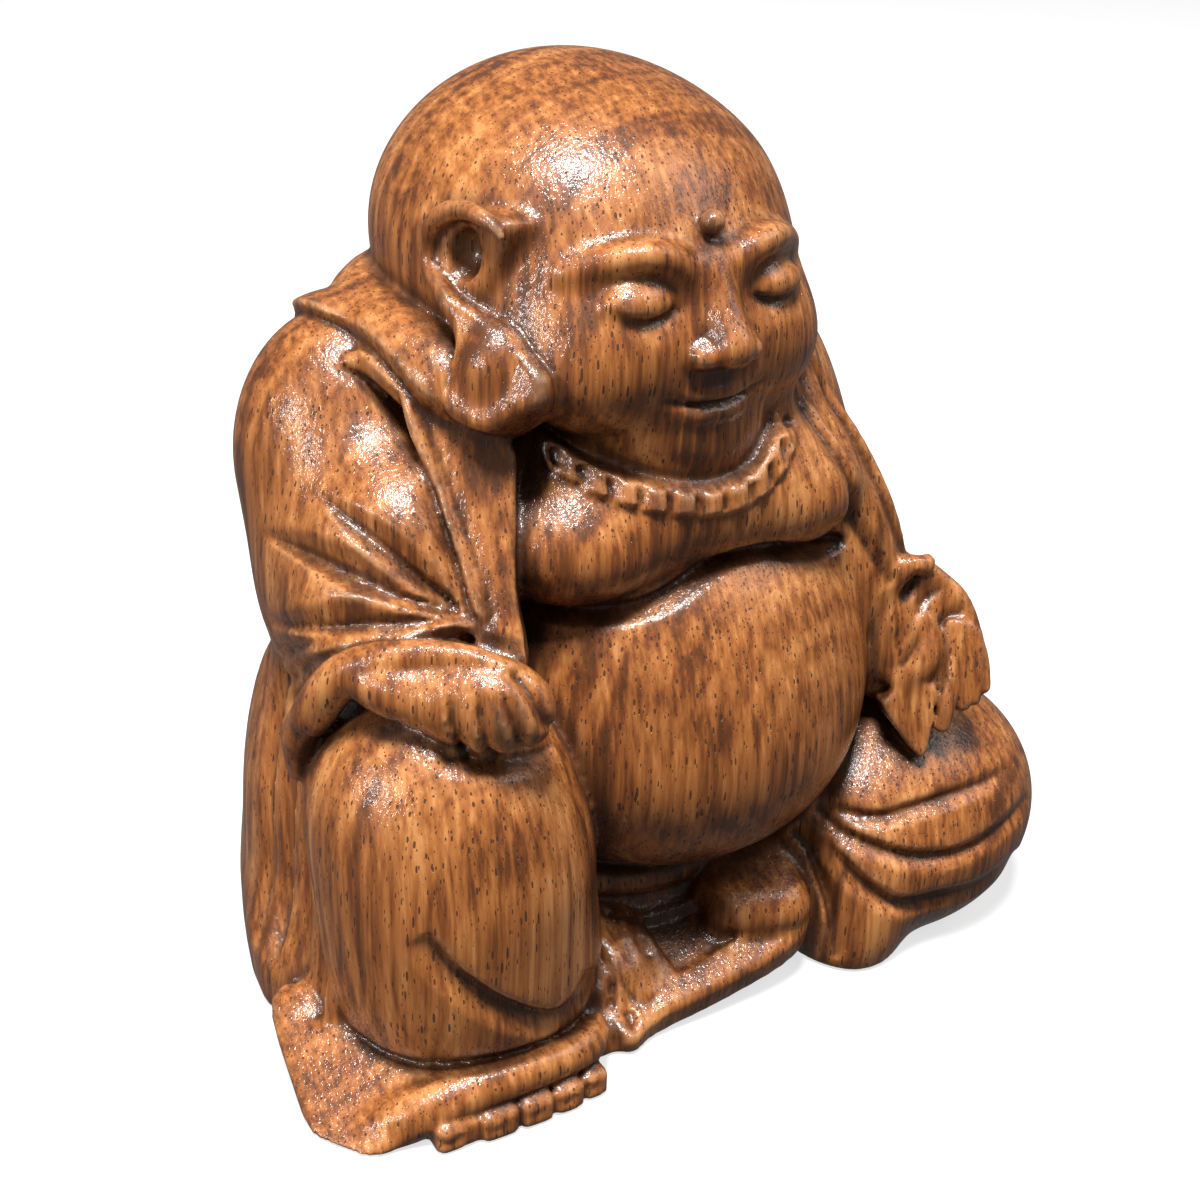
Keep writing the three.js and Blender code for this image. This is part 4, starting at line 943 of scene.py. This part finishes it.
def wood_material():
    """Brown open-pored hardwood with streaks and pores along the grain, under a worn glossy varnish."""
    material, nodes, links = new_material("varnished_hardwood")

    def make(kind, sockets=None, **settings):
        return put(nodes, links, kind, sockets, **settings)

    def maths(operation, a, b=0.0, clamp=False):
        return make("ShaderNodeMath", {0: a, 1: b}, operation=operation, use_clamp=clamp).outputs[0]

    def noise(where, scale, detail=3.0, roughness=0.55):
        return make("ShaderNodeTexNoise",
            {"Vector": where, "Scale": scale, "Detail": detail, "Roughness": roughness}).outputs[0]

    def step_between(value, low, high, to_low=0.0, to_high=1.0):
        sockets = {"Value": value, "From Min": low, "From Max": high, "To Min": to_low,
            "To Max": to_high}
        return make("ShaderNodeMapRange", sockets, interpolation_type="SMOOTHSTEP").outputs[0]

    def blend(share, under, over):
        node = make("ShaderNodeMix", data_type="RGBA", blend_type="MIX")
        for socket, value in ((0, share), (6, under), (7, over)):
            if isinstance(value, bpy.types.NodeSocket):
                links.new(value, node.inputs[socket])
            else:
                node.inputs[socket].default_value = value
        return node.outputs[2]

    def stretched(scale, turn=(0.0, 0.0, 0.0), offset=(0.0, 0.0, 0.0)):
        return make("ShaderNodeMapping",
            {"Vector": place, "Scale": scale, "Rotation": turn, "Location": offset}).outputs[0]

    place = make("ShaderNodeTexCoord").outputs["Object"]
    lean = (math.radians(4), math.radians(-5), 0.0)

    # Streaks that run up the block in darker and lighter zones, and rings about a heart behind the figure
    zones = noise(stretched((75.0, 75.0, 7.0), lean), 1.0, 2.0)
    streaks = noise(stretched((800.0, 420.0, 13.0), lean), 1.0, 4.0, 0.6)
    flecks = noise(stretched((1300.0, 700.0, 110.0), lean), 1.0, 3.0, 0.6)
    apart = make("ShaderNodeSeparateXYZ", {0: stretched((1.0, 1.0, 1.0), lean, (0.055, -0.105, 0.0))})
    flat = make("ShaderNodeCombineXYZ", {0: apart.outputs[0], 1: apart.outputs[1]}).outputs[0]
    radius = make("ShaderNodeVectorMath", {0: flat}, operation="LENGTH").outputs["Value"]
    ring = maths("ADD", radius, maths("MULTIPLY", zones, 0.004))
    bands = make("ShaderNodeTexNoise", {"W": maths("MULTIPLY", ring, 260.0),
        "Scale": 1.0, "Detail": 3.0, "Roughness": 0.6}, noise_dimensions="1D").outputs[0]
    tone = maths("ADD", maths("ADD", maths("MULTIPLY", zones, 0.30), maths("MULTIPLY", streaks, 0.46)),
        maths("ADD", maths("MULTIPLY", flecks, 0.18), maths("MULTIPLY", bands, 0.26)))
    ramp = make("ShaderNodeValToRGB", {0: tone})
    stops = ramp.color_ramp.elements
    for stop, (position, colour) in zip(stops, (WOOD_TONES[0], WOOD_TONES[-1])):
        stop.position = position
        stop.color = colour
    for position, colour in WOOD_TONES[1:-1]:
        stops.new(position).color = colour

    # Pores: thin dashes along the grain, dots where the grain ends
    def pores(across, along, wide, offset):
        at = make("ShaderNodeTexVoronoi", {"Vector": stretched((across, across, along), lean, offset),
            "Scale": 1.0, "Randomness": 1.0}, feature="F1", distance="EUCLIDEAN")
        odd = make("ShaderNodeSeparateColor", {0: at.outputs["Color"]}).outputs[0]
        width = maths("MULTIPLY", odd, wide)
        return step_between(maths("SUBTRACT", at.outputs["Distance"], width), 0.0, -0.06)

    pore = maths("MAXIMUM", pores(1400.0, 240.0, 0.33, (3.1, 1.7, 0.4)),
        pores(2300.0, 420.0, 0.28, (0.0, 5.3, 2.2)))

    stain_and_shade = make("ShaderNodeAttribute", attribute_name="stain_and_shade").outputs["Fac"]
    exposed = make("ShaderNodeAttribute", attribute_name="exposed").outputs["Fac"]
    patchy = noise(stretched((160.0, 160.0, 90.0)), 1.0, 4.0, 0.6)
    rubbed = maths("MULTIPLY", exposed, step_between(patchy, 0.32, 0.62, 0.25, 1.0), True)
    # Creases, hollows, hemmed-in places and the wood between the feet go near-black: painted shade, with
    # stain gathered there
    stain_and_shade_share = maths("MULTIPLY", step_between(stain_and_shade, 0.10, 0.70),
        step_between(patchy, 0.25, 0.65, 1.0, 0.7), True)

    colour = blend(maths("MULTIPLY", pore, 0.9), ramp.outputs[0], PORE_BROWN)
    colour = blend(maths("MULTIPLY", rubbed, 0.55), colour, RUBBED_WOOD)
    colour = blend(maths("MULTIPLY", stain_and_shade_share, 0.92), colour, STAIN_AND_SHADE_BROWN)

    peel = noise(stretched((1500.0, 1500.0, 700.0), lean), 1.0, 2.0, 0.55)
    grain = noise(stretched((2200.0, 2200.0, 220.0), lean), 1.0, 3.0, 0.6)
    relief = maths("SUBTRACT", maths("MULTIPLY", grain, 0.4), pore)
    bump = make("ShaderNodeBump", {"Strength": 0.6, "Distance": 0.0002, "Height": relief}).outputs[0]
    skin = make("ShaderNodeBump",
        {"Strength": 0.8, "Distance": 0.00026, "Height": maths("ADD", maths("MULTIPLY", relief, 0.4),
        peel)}).outputs[0]
    rough = maths("ADD", 0.40, maths("ADD", maths("MULTIPLY", pore, 0.25),
        maths("MULTIPLY", patchy, 0.12)))
    shader = make("ShaderNodeBsdfPrincipled",
        {"Base Color": colour, "Roughness": rough, "Normal": bump, "IOR": 1.35, "Coat Weight": 0.85,
        "Coat Roughness": 0.15, "Coat IOR": 1.42, "Coat Normal": skin})
    make("ShaderNodeOutputMaterial", {0: shader.outputs[0]})
    return material


def paper_material():
    material, nodes, links = new_material("pale_paper")
    sockets = {"Base Color": (0.28, 0.28, 0.28, 1), "Roughness": 0.9, "Specular IOR Level": 0.1,
        "Emission Color": WHITE, "Emission Strength": 0.7}
    shader = put(nodes, links, "ShaderNodeBsdfPrincipled", sockets)
    put(nodes, links, "ShaderNodeOutputMaterial", {0: shader.outputs[0]})
    return material


# Studio

def pale_floor():
    corners = [[-FLOOR_HALF, -FLOOR_HALF, 0], [FLOOR_HALF, -FLOOR_HALF, 0], [FLOOR_HALF, FLOOR_HALF, 0],
        [-FLOOR_HALF, FLOOR_HALF, 0]]
    floor = object_from("floor", np.array(corners), np.array([[0, 1, 2, 3]]))
    floor.location.z = -FLOOR_DROP
    floor.data.materials.append(paper_material())
    floor.visible_diffuse = False
    floor.visible_glossy = False


def soft_light(name, place, side, power):
    """A square light that faces the figure."""
    lamp = bpy.data.lights.new(name, "AREA")
    lamp.shape = "SQUARE"
    lamp.size = side
    lamp.energy = power
    thing = bpy.data.objects.new(name, lamp)
    thing.location = place
    thing.rotation_euler = (Vector(LIT_PLACE) - Vector(place)).to_track_quat("-Z", "Y").to_euler()
    bpy.context.scene.collection.objects.link(thing)


def pale_world():
    """A room that lights the figure dimly from all round, and is seen as pale as the floor."""
    world = bpy.data.worlds.new("studio")
    world.use_nodes = True
    nodes, links = world.node_tree.nodes, world.node_tree.links
    nodes.clear()
    dim = put(nodes, links, "ShaderNodeBackground", {"Color": WHITE, "Strength": ROOM_LIGHT})
    pale = put(nodes, links, "ShaderNodeBackground", {"Color": WHITE, "Strength": ROOM_PALE})
    seen = put(nodes, links, "ShaderNodeLightPath").outputs["Is Camera Ray"]
    room = put(nodes, links, "ShaderNodeMixShader", {0: seen, 1: dim.outputs[0], 2: pale.outputs[0]})
    put(nodes, links, "ShaderNodeOutputWorld", {0: room.outputs[0]})
    return world


def studio():
    bpy.context.scene.view_settings.view_transform = "Standard"
    bpy.context.scene.world = pale_world()
    for name, place, side, power in LIGHTS:
        soft_light(name, place, side, power)
    pale_floor()


def photo_camera(to_metres, unit):
    """The camera of the photograph, a little above the figure and to its right."""
    azimuth, elevation, roll = [math.radians(angle) for angle in (AZIMUTH, ELEVATION, ROLL)]
    level = math.cos(elevation)
    back = Vector((math.sin(azimuth) * level, -math.cos(azimuth) * level, math.sin(elevation)))
    right = Vector((math.cos(azimuth), math.sin(azimuth), 0.0))
    up = back.cross(right)
    rolled_right = right * math.cos(roll) - up * math.sin(roll)
    rolled_up = right * math.sin(roll) + up * math.cos(roll)
    lens = bpy.data.cameras.new("camera")
    lens.sensor_width = SENSOR_WIDTH
    lens.lens = FOCAL_LENGTH
    lens.clip_start = 0.01
    camera = bpy.data.objects.new("camera", lens)
    turn = Matrix((rolled_right, rolled_up, back)).transposed().to_4x4()
    place = Vector(to_metres(LOOKS_AT)) + back * DISTANCE * unit
    camera.matrix_world = Matrix.Translation(place) @ turn
    bpy.context.scene.collection.objects.link(camera)
    bpy.context.scene.camera = camera


carve()
piece, to_metres, unit = figure_piece()
piece.data.materials.clear()
piece.data.materials.append(wood_material())
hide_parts("figure")
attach(piece, "root")
studio()
photo_camera(to_metres, unit)
